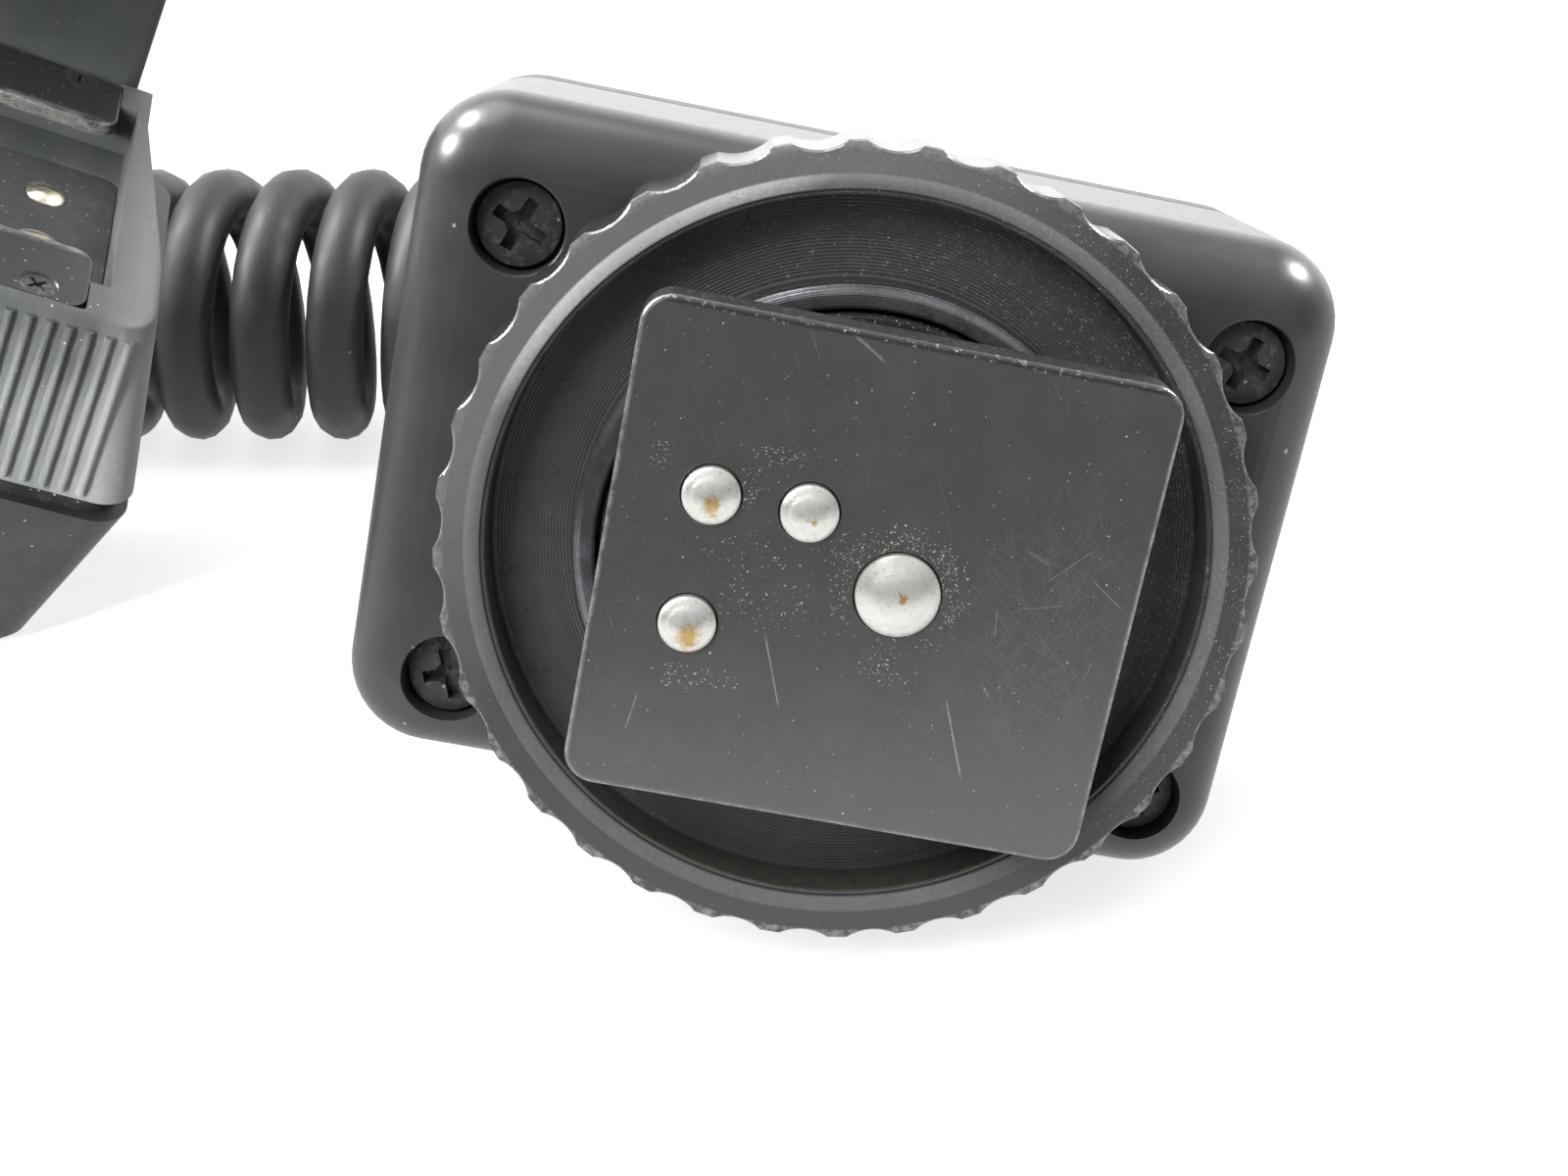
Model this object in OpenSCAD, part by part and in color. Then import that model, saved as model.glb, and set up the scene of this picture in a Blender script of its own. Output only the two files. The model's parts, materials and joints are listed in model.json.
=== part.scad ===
// Off-camera flash cord. A plug with a foot and a screw-down lock ring fits the camera's
// accessory shoe, a curly cord leads from it, and a block with a shoe of its own takes the flash.
// Millimetres, Z up. The two ends lie on a table as their stiff cord holds them, tipped on an edge.

/* [Foot] */
// Width of the foot plate, across the way it slides
foot_w = 18.6; // [18:0.1:18.8]
// Length of the foot plate, along the way it slides
foot_l = 19.7; // [18.8:0.1:21]
// Thickness of the foot plate
foot_t = 2; // [1.8:0.1:2.1]
// Corner radius of the foot plate
foot_r = 1.2; // [0.8:0.1:2]
// Worn bevel round the foot plate's face
foot_bevel = 0.2; // [0.1:0.05:0.3]
// How far the plate's middle lies from the ring's axis
foot_shift = 0.6; // [0:0.1:0.8]
// Height of the plate's back above the ring's rim when the ring is at rest
foot_lift = 1.3; // [1:0.1:2]
// Width of the neck that carries the plate
neck_w = 12.3; // [11.8:0.1:12.4]
// Length of the neck
neck_l = 16.5; // [16:0.1:17.5]

/* [Lock ring] */
// Radius of the ring's rim at the tips between its scallops
ring_r = 15.7; // [15.2:0.1:17]
// Height of the ring
ring_t = 4.6; // [4:0.1:6]
// Number of scallops round the rim
scallops = 36; // [30:1:40]
// Depth of a scallop
scallop_depth = 0.33; // [0.2:0.01:0.45]
// Radius of the dish inside the rim
dish_r = 13.75; // [13:0.05:14]
// Depth of the dish
dish_depth = 2.45; // [2:0.05:2.6]
// Radius of the hub round the thread
hub_r = 10.5; // [10.3:0.1:11.2]
// Depth of the hub's top below the rim
hub_drop = 0.3; // [0.2:0.05:0.6]
// Gap between the ring and the body's face at rest
ring_gap = 0.6; // [0.5:0.1:1.2]

/* [Thread] */
// Outer radius of the threaded post
post_r = 9.45; // [9.3:0.05:9.6]
// Pitch of the thread
thread_pitch = 0.8; // [0.6:0.1:1]
// Depth of the thread
thread_depth = 0.3; // [0.2:0.05:0.35]
// Depth of the post's face below the ring's rim
post_drop = 0.5; // [0.3:0.1:0.7]
// Thickness of the pressure washer on the hub
washer_t = 0.7; // [0.5:0.1:0.9]

/* [Plug body] */
// Width of the body
body_w = 37.4; // [36.6:0.1:42]
// Height of the body
body_h = 27.4; // [27:0.1:32]
// Depth of the front shell
shell_d = 13; // [12:0.5:18]
// Thickness of the back cover
cover_t = 4; // [3.5:0.5:6]
// Corner radius of the body
body_r = 3.5; // [3:0.1:4]
// Rounding of the body's front edge
body_edge = 3; // [2:0.1:3]
// Rounding of the cover's back edge
cover_edge = 1.5; // [1:0.1:2]
// Wall of the body
wall = 2; // [1.8:0.1:2.2]

/* [Body screws] */
// Half the distance between the screws across the body
screw_x = 14.65; // [14.4:0.05:14.9]
// Half the distance between the screws up the body
screw_y = 9.4; // [9.2:0.05:9.8]
// Radius of the round pocket over each screw
pocket_r = 1.85; // [1.8:0.05:2]
// Radius of a screw head
head_r = 1.65; // [1.4:0.05:1.7]
// Height of a screw head
head_t = 1.1; // [0.8:0.1:1.2]
// Radius of a screw's shank
shank_r = 0.95; // [0.8:0.05:1]
// Length of the shank
shank_l = 13; // [12.5:0.1:13.2]

/* [Pins] */
// Radius of the centre pin
centre_pin_r = 1.57; // [1.4:0.01:1.65]
// Radius of a signal pin
signal_pin_r = 1.07; // [0.9:0.01:1.1]
// Travel of the centre pin
centre_travel = 0.65; // [0.4:0.05:0.7]
// Travel of a signal pin
signal_travel = 0.5; // [0.3:0.05:0.5]
// Centre pin, from the plate's middle towards its trailing end
centre_pin_x = 1.1; // [0.9:0.05:1.2]
// Signal pins a and c, from the plate's middle towards its leading end
signal_far_x = 6.25; // [6:0.05:6.3]
// Signal pin b, from the plate's middle towards its leading end
signal_near_x = 2.65; // [2.5:0.05:2.7]
// Signal pins, to each side of the plate's middle line
signal_y = 2.45; // [2.4:0.05:2.6]

/* [Shoe block] */
// Length of the block along the shoe
block_l = 31; // [31:0.5:36]
// Depth of the block across the shoe, without the riser
block_w = 28; // [27:0.5:32]
// Height of the ribbed shell below the shoe's floor
shell_h = 7; // [6.5:0.5:10]
// Height of the base
base_h = 13.2; // [13:0.1:16]
// Height of the riser above the lips
riser_h = 12; // [8:0.5:14]
// Thickness of the riser
riser_t = 5; // [4:0.5:7]
// Draft of the shell's sides, from its bottom to the deck
side_draft = 1.6; // [0.5:0.1:2]
// Draft of the base's sides
base_draft = 3; // [2:0.1:3.4]
// Distance from one rib to the next
rib_pitch = 0.95; // [0.9:0.05:1.6]
// Height of a rib
rib_out = 0.35; // [0.2:0.05:0.5]

/* [Shoe] */
// Height of the channel that the foot slides in
channel_h = 2.15; // [2.15:0.05:2.4]
// Clear width between the two lips
lip_gap = 13.2; // [12.6:0.1:13.4]
// Thickness of a lip
lip_t = 0.8; // [0.6:0.1:1]
// Radius of the shoe's centre contact
centre_contact_r = 2; // [1.6:0.1:2.2]
// Radius of a signal contact
signal_contact_r = 1.07; // [0.9:0.01:1.3]
// How far the contacts stand above the shoe's floor
contact_up = 0.3; // [0.2:0.05:0.35]

/* [Tripod bush] */
// Radius of the bush's threaded hole
bush_bore_r = 2.9; // [2.8:0.05:3]
// Depth of the hole
bush_depth = 6; // [5:0.5:7]

/* [Cord] */
// Diameter of the cord
cord_d = 4; // [3.6:0.1:4.2]
// Outer diameter of the curly part
coil_od = 19.4; // [19:0.1:22]
// Distance from one curl to the next
curl_pitch = 5.2; // [5:0.1:6]
// Number of curls
curls = 28; // [20:1:30]

/* [Hidden] */

$fn = 64;
soft_fn = 32;        // facets of the rounded corners inside a hull
cut = 0.1;           // how far a cutting shape runs past a face
slip = 0.05;         // clearance of a running fit
seat = 0.02;         // clearance between pieces that are screwed together

// Where the things lie on the table: the middle of both ends' footprint, and each end's place.
middle = [-28.8, 97.7];
plug_at = [2.4, 72.5, 17.55];
plug_lean = -5;
plug_roll = 11.1;
plug_yaw = 1.2;
shoe_at = [-45.4, 107.7, 25.6];
shoe_turn = [20.4, 22.2, 17.9];

// Levels of the plug along its axis, from the ring's rim up to the foot and down to the cover.
plate_back = foot_lift;
plate_face = plate_back + foot_t;
neck_foot = -post_drop;
face_z = -ring_t - ring_gap;
inside_z = face_z - wall;
shell_z = face_z - shell_d;
back_z = shell_z - cover_t;
body_mid = [-0.3, 0.6];
column_wall = 0.75;
cavity_r = 1.5;

// The post's flange behind the body's front wall, and the screws that hold it.
flange_t = 1.5;
flange_z = inside_z - flange_t;
flange_disc_r = 11;
flange_l = 25.2;
flange_w = 15;
post_screw_in = [1.3, 1.5];
post_screw_at = [flange_l / 2 - post_screw_in[0], flange_w / 2 - post_screw_in[1]];
post_screw_r = 0.6;
post_screw_head_r = 1.1;
post_screw_head_t = 0.8;
post_screw_bite = 1.3;

// The carrier that insulates the pins, set in the post's slot.
carrier_r = 8.3;
carrier_w = 9.4;
carrier_end = 4.3;
carrier_skin = 1.1;
carrier_top = plate_face - carrier_skin;
carrier_z = -11;
well_top = -1;
pin_flange = 0.5;
pin_flange_t = 0.95;
stem_l = 3.5;
shoulder_z = well_top - slip - pin_flange_t;
stem_r = 0.45;
pin_gap = 0.06;
pin_spare = 0.1;     // what a pin still stands above the plate when it is pressed in

// The two screws that hold the foot to the post.
foot_screw_at = [6.6, 2.8];
foot_screw_r = 0.75;
foot_screw_head_r = 1.35;
foot_screw_head_t = 0.9;
foot_screw_top = plate_back + 1;

// Pin places from the ring's axis: the leading end of the foot is to the left.
centre_at = [foot_shift + centre_pin_x, 0];
signal_at = [
    [foot_shift - signal_far_x, signal_y],
    [foot_shift - signal_near_x, signal_y],
    [foot_shift - signal_far_x, -signal_y]];

// Springs behind the pins.
spring_wire = 0.3;
spring_curls = 4;
spring_sides = 6;
spring_rings = 8;

// Circuit board and cover pillars of the plug.
board_t = 1;
board_l = 2 * (screw_x - pocket_r - column_wall - slip);
board_w = 17;
board_z = carrier_z - seat;
pillar_at = [9, 5];
pillar_r = 1.8;

// Strain relief boots: a flange inside the wall, a neck through it, a ribbed taper outside.
boot_at = [6, -6];
boot_l = 14;
boot_r = 4.2;
boot_tip_r = 2.7;
boot_neck_r = 2.9;
boot_flange_r = 3.3;
boot_flange_t = 0.8;
boot_rings = 5;
boot_groove = 0.35;

// Levels of the shoe block: zero is the shoe's floor.
lip_z = channel_h;
deck_z = channel_h + lip_t;
seam_z = -shell_h;
gasket_t = 1.2;
base_top = seam_z - gasket_t;
base_z = base_top - base_h;
channel_half = foot_w / 2 + 0.1;
rail_cover = 0.4;
rail_out = block_w / 2 - side_draft - channel_half - rail_cover;
stop_x = foot_l / 2 + 0.1;
block_right = 14;
block_mid = block_right - block_l / 2;
block_r = 2;
riser_top = deck_z + riser_h;
riser_right = 9.8;
riser_front = channel_half + rail_out + 0.2;
cheek_z = -3;
cheek_wall = 0.65;
cheek_back = 6;
shoe_wall = 2;
cheek_room = 1;
floor_t = 1.4;
rail_l = 21;
rail_end_r = 1.2;
rail_w = channel_half + rail_out - lip_gap / 2;
rail_screw_r = 0.09 * rail_w;
rail_screw_head_r = rail_w / 6;
rail_screw_y = channel_half + rail_out - 1.2 * rail_screw_head_r;
rail_screw_head_t = 0.4;
rail_screw_l = 1.6;
insulator_half = lip_gap / 2 - 0.4;
insulator_l = 19;
contact_t = 1.6;
tail_r = 0.4;
shoe_board_t = 1;
shoe_board_z = -floor_t - 1.6;
inner_l = block_l - 2 * (shoe_wall + side_draft + cheek_room);
inner_w = block_w - 2 * (shoe_wall + side_draft);
gasket_in = 0.6;
base_wall = 2;
base_screw_in = [4.3, 4.4];
base_screw_at = [block_l / 2 - base_screw_in[0], block_w / 2 - base_screw_in[1]];
base_screw_r = 0.8;
base_screw_head_r = 1.5;
base_screw_head_t = 1;
base_boss_r = 2.2;
base_screw_bite = 3.4;
board_room = 0.3;
shoe_board_l = inner_l - 2 * board_room;
shoe_board_w = 2 * (base_screw_at[1] - base_boss_r - board_room);
tripod_r = 8;
tripod_t = 1.2;
bush_r = 4.6;
bush_flange_r = 6;
bush_flange_t = 1;
shoe_boot_at = [2, -4.8];
boot_seat = 0.2;
boot_boss = 0.3;
boot_wall = base_draft + base_wall - boot_seat;

// Cord: the curls lie along the table behind the two ends, and a lead runs from each end of them.
cord_r = cord_d / 2;
coil_r = coil_od / 2 - cord_r;
coil_right = [-1, 145];
curl_rings = 8;
coil_sides = 6;
lead_sides = 8;
coil_lift = 0.03;
plug_route = [[6, 118, 4.2], [4.2, 124, 2.6], [1.8, 130.5, 2.1]];
shoe_route = [[-88.5, 100.3, 28.6], [-95.5, 98, 26.2], [-102.5, 95.8, 20.8], [-109.5, 94, 13.6],
    [-116.5, 93, 6.6], [-124, 93, 2.4], [-132, 94.6, 2.1], [-139.5, 99, 2.1], [-145, 105.5, 2.7],
    [-148, 113, 5.2], [-149.2, 121, 9.6], [-149.6, 129, 14.4]];

/* Turning and placing */

function spin(angle, axis, p) =
    let (c = cos(angle), s = sin(angle))
    axis == 0 ? [p[0], c * p[1] - s * p[2], s * p[1] + c * p[2]]
    : axis == 1 ? [c * p[0] + s * p[2], p[1], -s * p[0] + c * p[2]]
    : [c * p[0] - s * p[1], s * p[0] + c * p[1], p[2]];
function plug_turn(p) = spin(plug_yaw, 2, spin(plug_lean, 0, spin(plug_roll, 1, spin(90, 0, p))));
function plug_point(p) = plug_at + plug_turn(p);
function shoe_turned(p) = spin(shoe_turn[2], 2, spin(shoe_turn[1], 1, spin(shoe_turn[0], 0, p)));
function shoe_point(p) = shoe_at + shoe_turned(p);

module on_table() {
    translate([-middle[0], -middle[1], 0]) children();
}

module place_plug() {
    on_table() translate(plug_at)
        rotate([0, 0, plug_yaw]) rotate([plug_lean, 0, 0]) rotate([0, plug_roll, 0])
            rotate([90, 0, 0]) children();
}

module place_shoe() {
    on_table() translate(shoe_at) rotate(shoe_turn) children();
}

/* Shapes used by more than one piece */

// A flat plate with round corners, from z = 0 up
module slab(l, w, t, r) {
    linear_extrude(t) {
        square([l - 2 * r, w], center = true);
        square([l, w - 2 * r], center = true);
        for (x = [-1, 1], y = [-1, 1])
            translate([x * (l / 2 - r), y * (w / 2 - r)]) circle(r);
    }
}

// A block with round corners and a rounded top edge, its top at z = 0
module soft_block(l, w, d, corner, edge) {
    hull() for (x = [-1, 1], y = [-1, 1])
        translate([x * (l / 2 - corner), y * (w / 2 - corner), -d])
            rotate_extrude($fn = soft_fn) {
                square([corner, d - edge]);
                translate([corner - edge, d - edge]) intersection() {
                    circle(edge);
                    square(edge);
                }
            }
}

// A block that narrows upwards on its sides, from z = 0 to z = h
module drafted(l, w, h, draft, r) {
    hull() {
        translate([0, 0, 0]) linear_extrude(0.01) rounded_outline(l, w, r);
        translate([0, 0, h - 0.01]) linear_extrude(0.01)
            rounded_outline(l - 2 * draft, w - 2 * draft, r);
    }
}

module rounded_outline(l, w, r) {
    for (x = [-1, 1], y = [-1, 1])
        translate([x * (l / 2 - r), y * (w / 2 - r)]) circle(r, $fn = soft_fn);
}

module at_corners(p) {
    for (x = [-1, 1], y = [-1, 1]) translate([x * p[0], y * p[1]]) children();
}

// A cross recess for a screwdriver, cut down from z = 0
module cross_cut(span, slot, depth) {
    for (a = [0, 90]) rotate(a) translate([0, 0, (cut - depth) / 2])
        cube([span, slot, depth + cut], center = true);
}

// A tube of straight facets through ring centres, each ring with its own normal
module tube(points, normals, radius, sides) {
    count = len(points);
    last = count - 1;
    ways = [for (i = [0:last]) unit(points[min(i + 1, last)] - points[max(i - 1, 0)])];
    rims = [for (i = [0:last])
        let (n = unit(normals[i] - (normals[i] * ways[i]) * ways[i]), b = cross(ways[i], n))
        for (k = [0:sides - 1])
            let (a = 360 * (k + 0.5) / sides)
            points[i] + radius * (cos(a) * n + sin(a) * b)];
    walls = [for (i = [0:last - 1], k = [0:sides - 1])
        let (a = i * sides + k, b = i * sides + (k + 1) % sides)
        each [[a, a + sides, b], [b, a + sides, b + sides]]];
    caps = [for (k = [1:sides - 2])
        each [[0, k, k + 1], [last * sides, last * sides + k + 1, last * sides + k]]];
    polyhedron(rims, concat(walls, caps), convexity = 10);
}

function unit(v) = v / norm(v);
function least_gap(points, radius, near, far) =
    min([for (i = [0:len(points) - far - 1], j = [i + near:i + far])
        norm(points[i] - points[j])]) - 2 * radius;

// A compression spring along z, from z = 0 up, with closed ends
module spring(mean_r, wire, length, turns) {
    rise = length - wire;
    steps = turns * spring_rings;
    points = [for (i = [0:steps])
        [mean_r * cos(360 * i / spring_rings), mean_r * sin(360 * i / spring_rings),
            wire / 2 + rise * i / steps]];
    normals = [for (i = [0:steps]) [cos(360 * i / spring_rings), sin(360 * i / spring_rings), 0]];
    tube(points, normals, wire / 2, spring_sides);
}

// A strain relief along -z: flange inside, neck through the wall, grooved taper outside
module boot(wall_t) {
    taper = (boot_r - boot_tip_r) / boot_l;
    step = boot_l / (boot_rings + 1);
    difference() {
        rotate_extrude() polygon([
            [0, wall_t + boot_flange_t], [boot_flange_r, wall_t + boot_flange_t],
            [boot_flange_r, wall_t + seat], [boot_neck_r, wall_t + seat],
            [boot_neck_r, -seat], [boot_r, -seat],
            [boot_tip_r, -boot_l], [0, -boot_l]]);
        for (i = [1:boot_rings])
            translate([0, 0, -i * step]) rotate_extrude()
                translate([boot_r - taper * i * step, 0]) circle(boot_groove, $fn = 16);
    }
}

/* Plug: body */

module plug_housing() {
    color("#26282c") place_plug() difference() {
        union() {
            difference() {
                translate([body_mid[0], body_mid[1], face_z])
                    soft_block(body_w, body_h, shell_d, body_r, body_edge);
                translate([body_mid[0], body_mid[1], shell_z - cut])
                    slab(body_w - 2 * wall, body_h - 2 * wall, shell_d - wall + cut, cavity_r);
            }
            at_corners([screw_x, screw_y]) translate([0, 0, shell_z])
                cylinder(r = pocket_r + column_wall, h = shell_d - body_edge / 2);
        }
        translate([0, 0, inside_z - cut])
            cylinder(r = post_r + slip, h = wall + 2 * cut);
        at_corners([screw_x, screw_y]) {
            translate([0, 0, inside_z]) cylinder(r = pocket_r, h = wall + cut);
            translate([0, 0, shell_z - cut]) cylinder(r = shank_r + slip, h = shell_d);
        }
        at_corners(post_screw_at) translate([0, 0, inside_z - cut])
            cylinder(r = post_screw_r + seat, h = post_screw_bite + cut + seat);
    }
}

module plug_cover() {
    pilot = shank_l - (shell_d - wall);
    color("#1f2124") place_plug() difference() {
        union() {
            translate([body_mid[0], body_mid[1], back_z]) mirror([0, 0, 1])
                soft_block(body_w, body_h, cover_t, body_r, cover_edge);
            for (x = [-1, 1]) translate([x * pillar_at[0], pillar_at[1], shell_z])
                cylinder(r = pillar_r, h = board_z - board_t - seat - shell_z);
        }
        at_corners([screw_x, screw_y]) translate([0, 0, shell_z - pilot - seat])
            cylinder(r = shank_r + seat, h = pilot + seat + cut);
        translate([boot_at[0], boot_at[1], back_z - cut])
            cylinder(r = boot_neck_r + seat, h = cover_t + 2 * cut);
    }
}

module plug_screws() {
    color("#141414") place_plug() at_corners([screw_x, screw_y])
        translate([0, 0, inside_z]) difference() {
            union() {
                cylinder(r = head_r, h = head_t);
                translate([0, 0, -shank_l]) cylinder(r = shank_r, h = shank_l);
            }
            translate([0, 0, head_t]) cross_cut(1.5 * head_r, 0.3 * head_r, head_t * 0.6);
        }
}

/* Plug: threaded post, foot and ring */

module carrier_outline(gap) {
    intersection() {
        circle(carrier_r + gap);
        translate([-carrier_r - gap, -carrier_w / 2 - gap])
            square([carrier_r + carrier_end + 2 * gap, carrier_w + 2 * gap]);
    }
}

module threaded_post() {
    grooves = floor((ring_t - post_drop) / thread_pitch);
    color("#1c1d20") place_plug() difference() {
        union() {
            translate([0, 0, flange_z]) cylinder(r = post_r, h = -post_drop - flange_z);
            translate([0, 0, flange_z]) cylinder(r = flange_disc_r, h = flange_t - seat);
            translate([0, 0, flange_z]) slab(flange_l, flange_w, flange_t - seat, 1);
        }
        for (i = [0:grooves]) translate([0, 0, -post_drop - (i + 0.5) * thread_pitch])
            rotate_extrude() polygon([[post_r - thread_depth, 0],
                [post_r + cut, thread_pitch / 2], [post_r + cut, -thread_pitch / 2]]);
        translate([0, 0, flange_z - cut]) linear_extrude(-post_drop - flange_z + 2 * cut)
            carrier_outline(slip);
        at_corners(post_screw_at) translate([0, 0, flange_z - cut])
            cylinder(r = post_screw_r + slip, h = flange_t + 2 * cut);
        for (y = [-1, 1]) translate([foot_screw_at[0], y * foot_screw_at[1], flange_z - cut])
            cylinder(r = foot_screw_r + slip, h = -flange_z);
    }
}

module post_screws() {
    color("#8b8d90") place_plug() at_corners(post_screw_at) translate([0, 0, flange_z]) {
        translate([0, 0, -post_screw_head_t]) difference() {
            cylinder(r = post_screw_head_r, h = post_screw_head_t);
            mirror([0, 0, 1]) cross_cut(1.4 * post_screw_head_r, 0.3, post_screw_head_t / 2);
        }
        cylinder(r = post_screw_r, h = flange_t + post_screw_bite);
    }
}

module foot_plate() {
    color("#232427") place_plug() difference() {
        union() {
            translate([foot_shift, 0, plate_back]) hull() {
                slab(foot_l, foot_w, foot_t - foot_bevel, foot_r, $fn = soft_fn);
                slab(foot_l - 2 * foot_bevel, foot_w - 2 * foot_bevel, foot_t, foot_r,
                    $fn = soft_fn);
            }
            translate([0, 0, neck_foot]) linear_extrude(plate_back - neck_foot + cut)
                intersection() {
                    circle(post_r - slip);
                    square([neck_l, neck_w], center = true);
                }
        }
        translate([0, 0, neck_foot - cut]) linear_extrude(carrier_top - neck_foot + cut + seat)
            carrier_outline(slip);
        translate([centre_at[0], centre_at[1], carrier_top - cut])
            cylinder(r = centre_pin_r + pin_gap, h = carrier_skin + 2 * cut);
        for (p = signal_at) translate([p[0], p[1], carrier_top - cut])
            cylinder(r = signal_pin_r + pin_gap, h = carrier_skin + 2 * cut);
        for (y = [-1, 1]) translate([foot_screw_at[0], y * foot_screw_at[1], neck_foot - cut])
            cylinder(r = foot_screw_r + seat, h = foot_screw_top - neck_foot + cut + seat);
    }
}

module foot_screws() {
    color("#8b8d90") place_plug() for (y = [-1, 1])
        translate([foot_screw_at[0], y * foot_screw_at[1], flange_z]) {
            translate([0, 0, -foot_screw_head_t]) difference() {
                cylinder(r = foot_screw_head_r, h = foot_screw_head_t);
                mirror([0, 0, 1]) cross_cut(1.4 * foot_screw_head_r, 0.35, foot_screw_head_t / 2);
            }
            cylinder(r = foot_screw_r, h = foot_screw_top - flange_z);
        }
}

module lock_ring() {
    land = 0.35;
    chamfer = 0.35;
    step_r = ring_r - scallop_depth;
    cutter_r = 2;
    hub_top = -hub_drop - washer_t - slip;
    color("#222326") place_plug() difference() {
        rotate_extrude($fn = 144) polygon([
            [post_r + slip, -ring_t], [ring_r - chamfer, -ring_t], [ring_r, -ring_t + chamfer],
            [ring_r, -chamfer / 2], [ring_r - chamfer / 2, 0],
            [dish_r + land + chamfer, 0], [dish_r + land, -chamfer],
            [dish_r, -chamfer], [dish_r, -dish_depth],
            [hub_r, -dish_depth], [hub_r, hub_top], [post_r + slip, hub_top]]);
        for (i = [0:scallops - 1]) rotate((i + 0.5) * 360 / scallops - 90)
            translate([step_r + cutter_r, 0, -ring_t - cut])
                cylinder(r = cutter_r, h = ring_t + 2 * cut, $fn = 48);
    }
}

module thrust_washer() {
    chamfer = 0.35;
    color("#2b2b2b") place_plug() rotate_extrude() polygon([
        [post_r + 3 * slip, -hub_drop - washer_t], [hub_r, -hub_drop - washer_t],
        [hub_r, -hub_drop - chamfer], [hub_r - chamfer, -hub_drop],
        [post_r + 3 * slip, -hub_drop]]);
}

/* Plug: pins */

module pin_carrier() {
    color("#3a3630") place_plug() difference() {
        translate([0, 0, carrier_z]) linear_extrude(carrier_top - carrier_z) carrier_outline(0);
        translate([centre_at[0], centre_at[1], 0]) pin_well(centre_pin_r);
        for (p = signal_at) translate([p[0], p[1], 0]) pin_well(signal_pin_r);
    }
}

module pin_well(r) {
    translate([0, 0, well_top - cut]) cylinder(r = r + slip, h = carrier_top - well_top + 2 * cut);
    translate([0, 0, carrier_z - cut]) cylinder(r = r + pin_flange + slip, h = well_top - carrier_z + cut);
}

// A domed pin on its own axis, with the shoulder that stops it and the stem inside its spring
module sprung_pin(r, travel) {
    dome = 0.4 * r;
    tip = plate_face + travel + pin_spare;
    bulge = (r * r + dome * dome) / (2 * dome);
    color("#c9c4b4") rotate_extrude() {
        translate([0, shoulder_z]) square([r, tip - dome - shoulder_z]);
        translate([0, tip - bulge]) intersection() {
            circle(bulge, $fn = 128);
            translate([0, bulge - dome - 0.001]) square([r, dome + cut]);
        }
        translate([0, shoulder_z]) square([r + pin_flange, pin_flange_t]);
        translate([0, shoulder_z - stem_l]) square([stem_r, stem_l + cut]);
    }
}

module centre_pin() {
    place_plug() translate([centre_at[0], centre_at[1], 0]) sprung_pin(centre_pin_r, centre_travel);
}

module signal_pin(i) {
    place_plug() translate([signal_at[i][0], signal_at[i][1], 0])
        sprung_pin(signal_pin_r, signal_travel);
}

module pin_spring(p, r) {
    length = shoulder_z - carrier_z - 2 * seat;
    color("#9a9c9f") place_plug() translate([p[0], p[1], carrier_z + seat])
        spring(r - spring_wire / 2, spring_wire, length, spring_curls);
}

module plug_board() {
    color("#2f6b3c") place_plug() translate([0, 0, board_z - board_t])
        slab(board_l, board_w, board_t, 1);
}

module plug_boot() {
    color("#1b1c1e") place_plug() translate([boot_at[0], boot_at[1], back_z]) boot(cover_t);
}

/* Shoe block */

module shell_ribs() {
    count = floor((block_l - 2 * block_r) / rib_pitch);
    height = deck_z - seam_z - 1;
    tilt = atan(side_draft / (deck_z - seam_z));
    for (i = [0:count - 1])
        translate([block_mid + (i - (count - 1) / 2) * rib_pitch, -block_w / 2, seam_z])
            rotate([-tilt, 0, 0]) translate([-rib_pitch / 4, -rib_out, rib_out])
                cube([rib_pitch / 2, rib_out + 1, height]);
}

module shoe_housing() {
    color("#2a2c2f") place_shoe() difference() {
        union() {
            difference() {
                union() {
                    translate([block_mid, 0, seam_z])
                        drafted(block_l, block_w, deck_z - seam_z, side_draft, block_r);
                    shell_ribs();
                }
                cheek_cut();
                translate([block_mid, 0, seam_z - cut])
                    slab(inner_l, inner_w, -floor_t - seam_z + cut, 1);
            }
            at_corners_from(block_mid, base_screw_at) translate([0, 0, seam_z])
                cylinder(r = base_boss_r, h = cheek_z - seam_z);
            riser();
        }
        // the foot's channel, open at the left end
        translate([stop_x - 2 * block_l, -channel_half, 0])
            cube([2 * block_l, 2 * channel_half, deck_z + cut]);
        // ledges for the two rails
        for (y = [-1, 1])
            translate([stop_x - rail_l / 2 - 1, y * (channel_half + rail_out / 2 - cut / 2), lip_z])
                slab(rail_l + 2 * seat, rail_out + cut + 2 * seat, deck_z, 0.3);
        // the insulator's pocket
        translate([stop_x - insulator_l / 2, 0, -floor_t - cut])
            slab(insulator_l, 2 * insulator_half, floor_t + 2 * cut, 1);
        at_corners_from(block_mid, base_screw_at) translate([0, 0, seam_z - cut])
            cylinder(r = base_screw_r + seat, h = base_screw_bite + cut);
        rail_screw_holes(rail_screw_r + seat);
    }
}

// The shell's right cheek is drawn in towards the back
module cheek_cut() {
    back_x = stop_x + cheek_wall;
    translate([0, 0, cheek_z]) linear_extrude(deck_z - cheek_z + cut) polygon([
        [back_x, block_w], [back_x, block_w / 2 - cheek_back], [block_right - side_draft, -block_w / 4],
        [block_right + cut, -block_w / 2], [2 * block_right, -block_w / 2], [2 * block_right, block_w]]);
}

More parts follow.
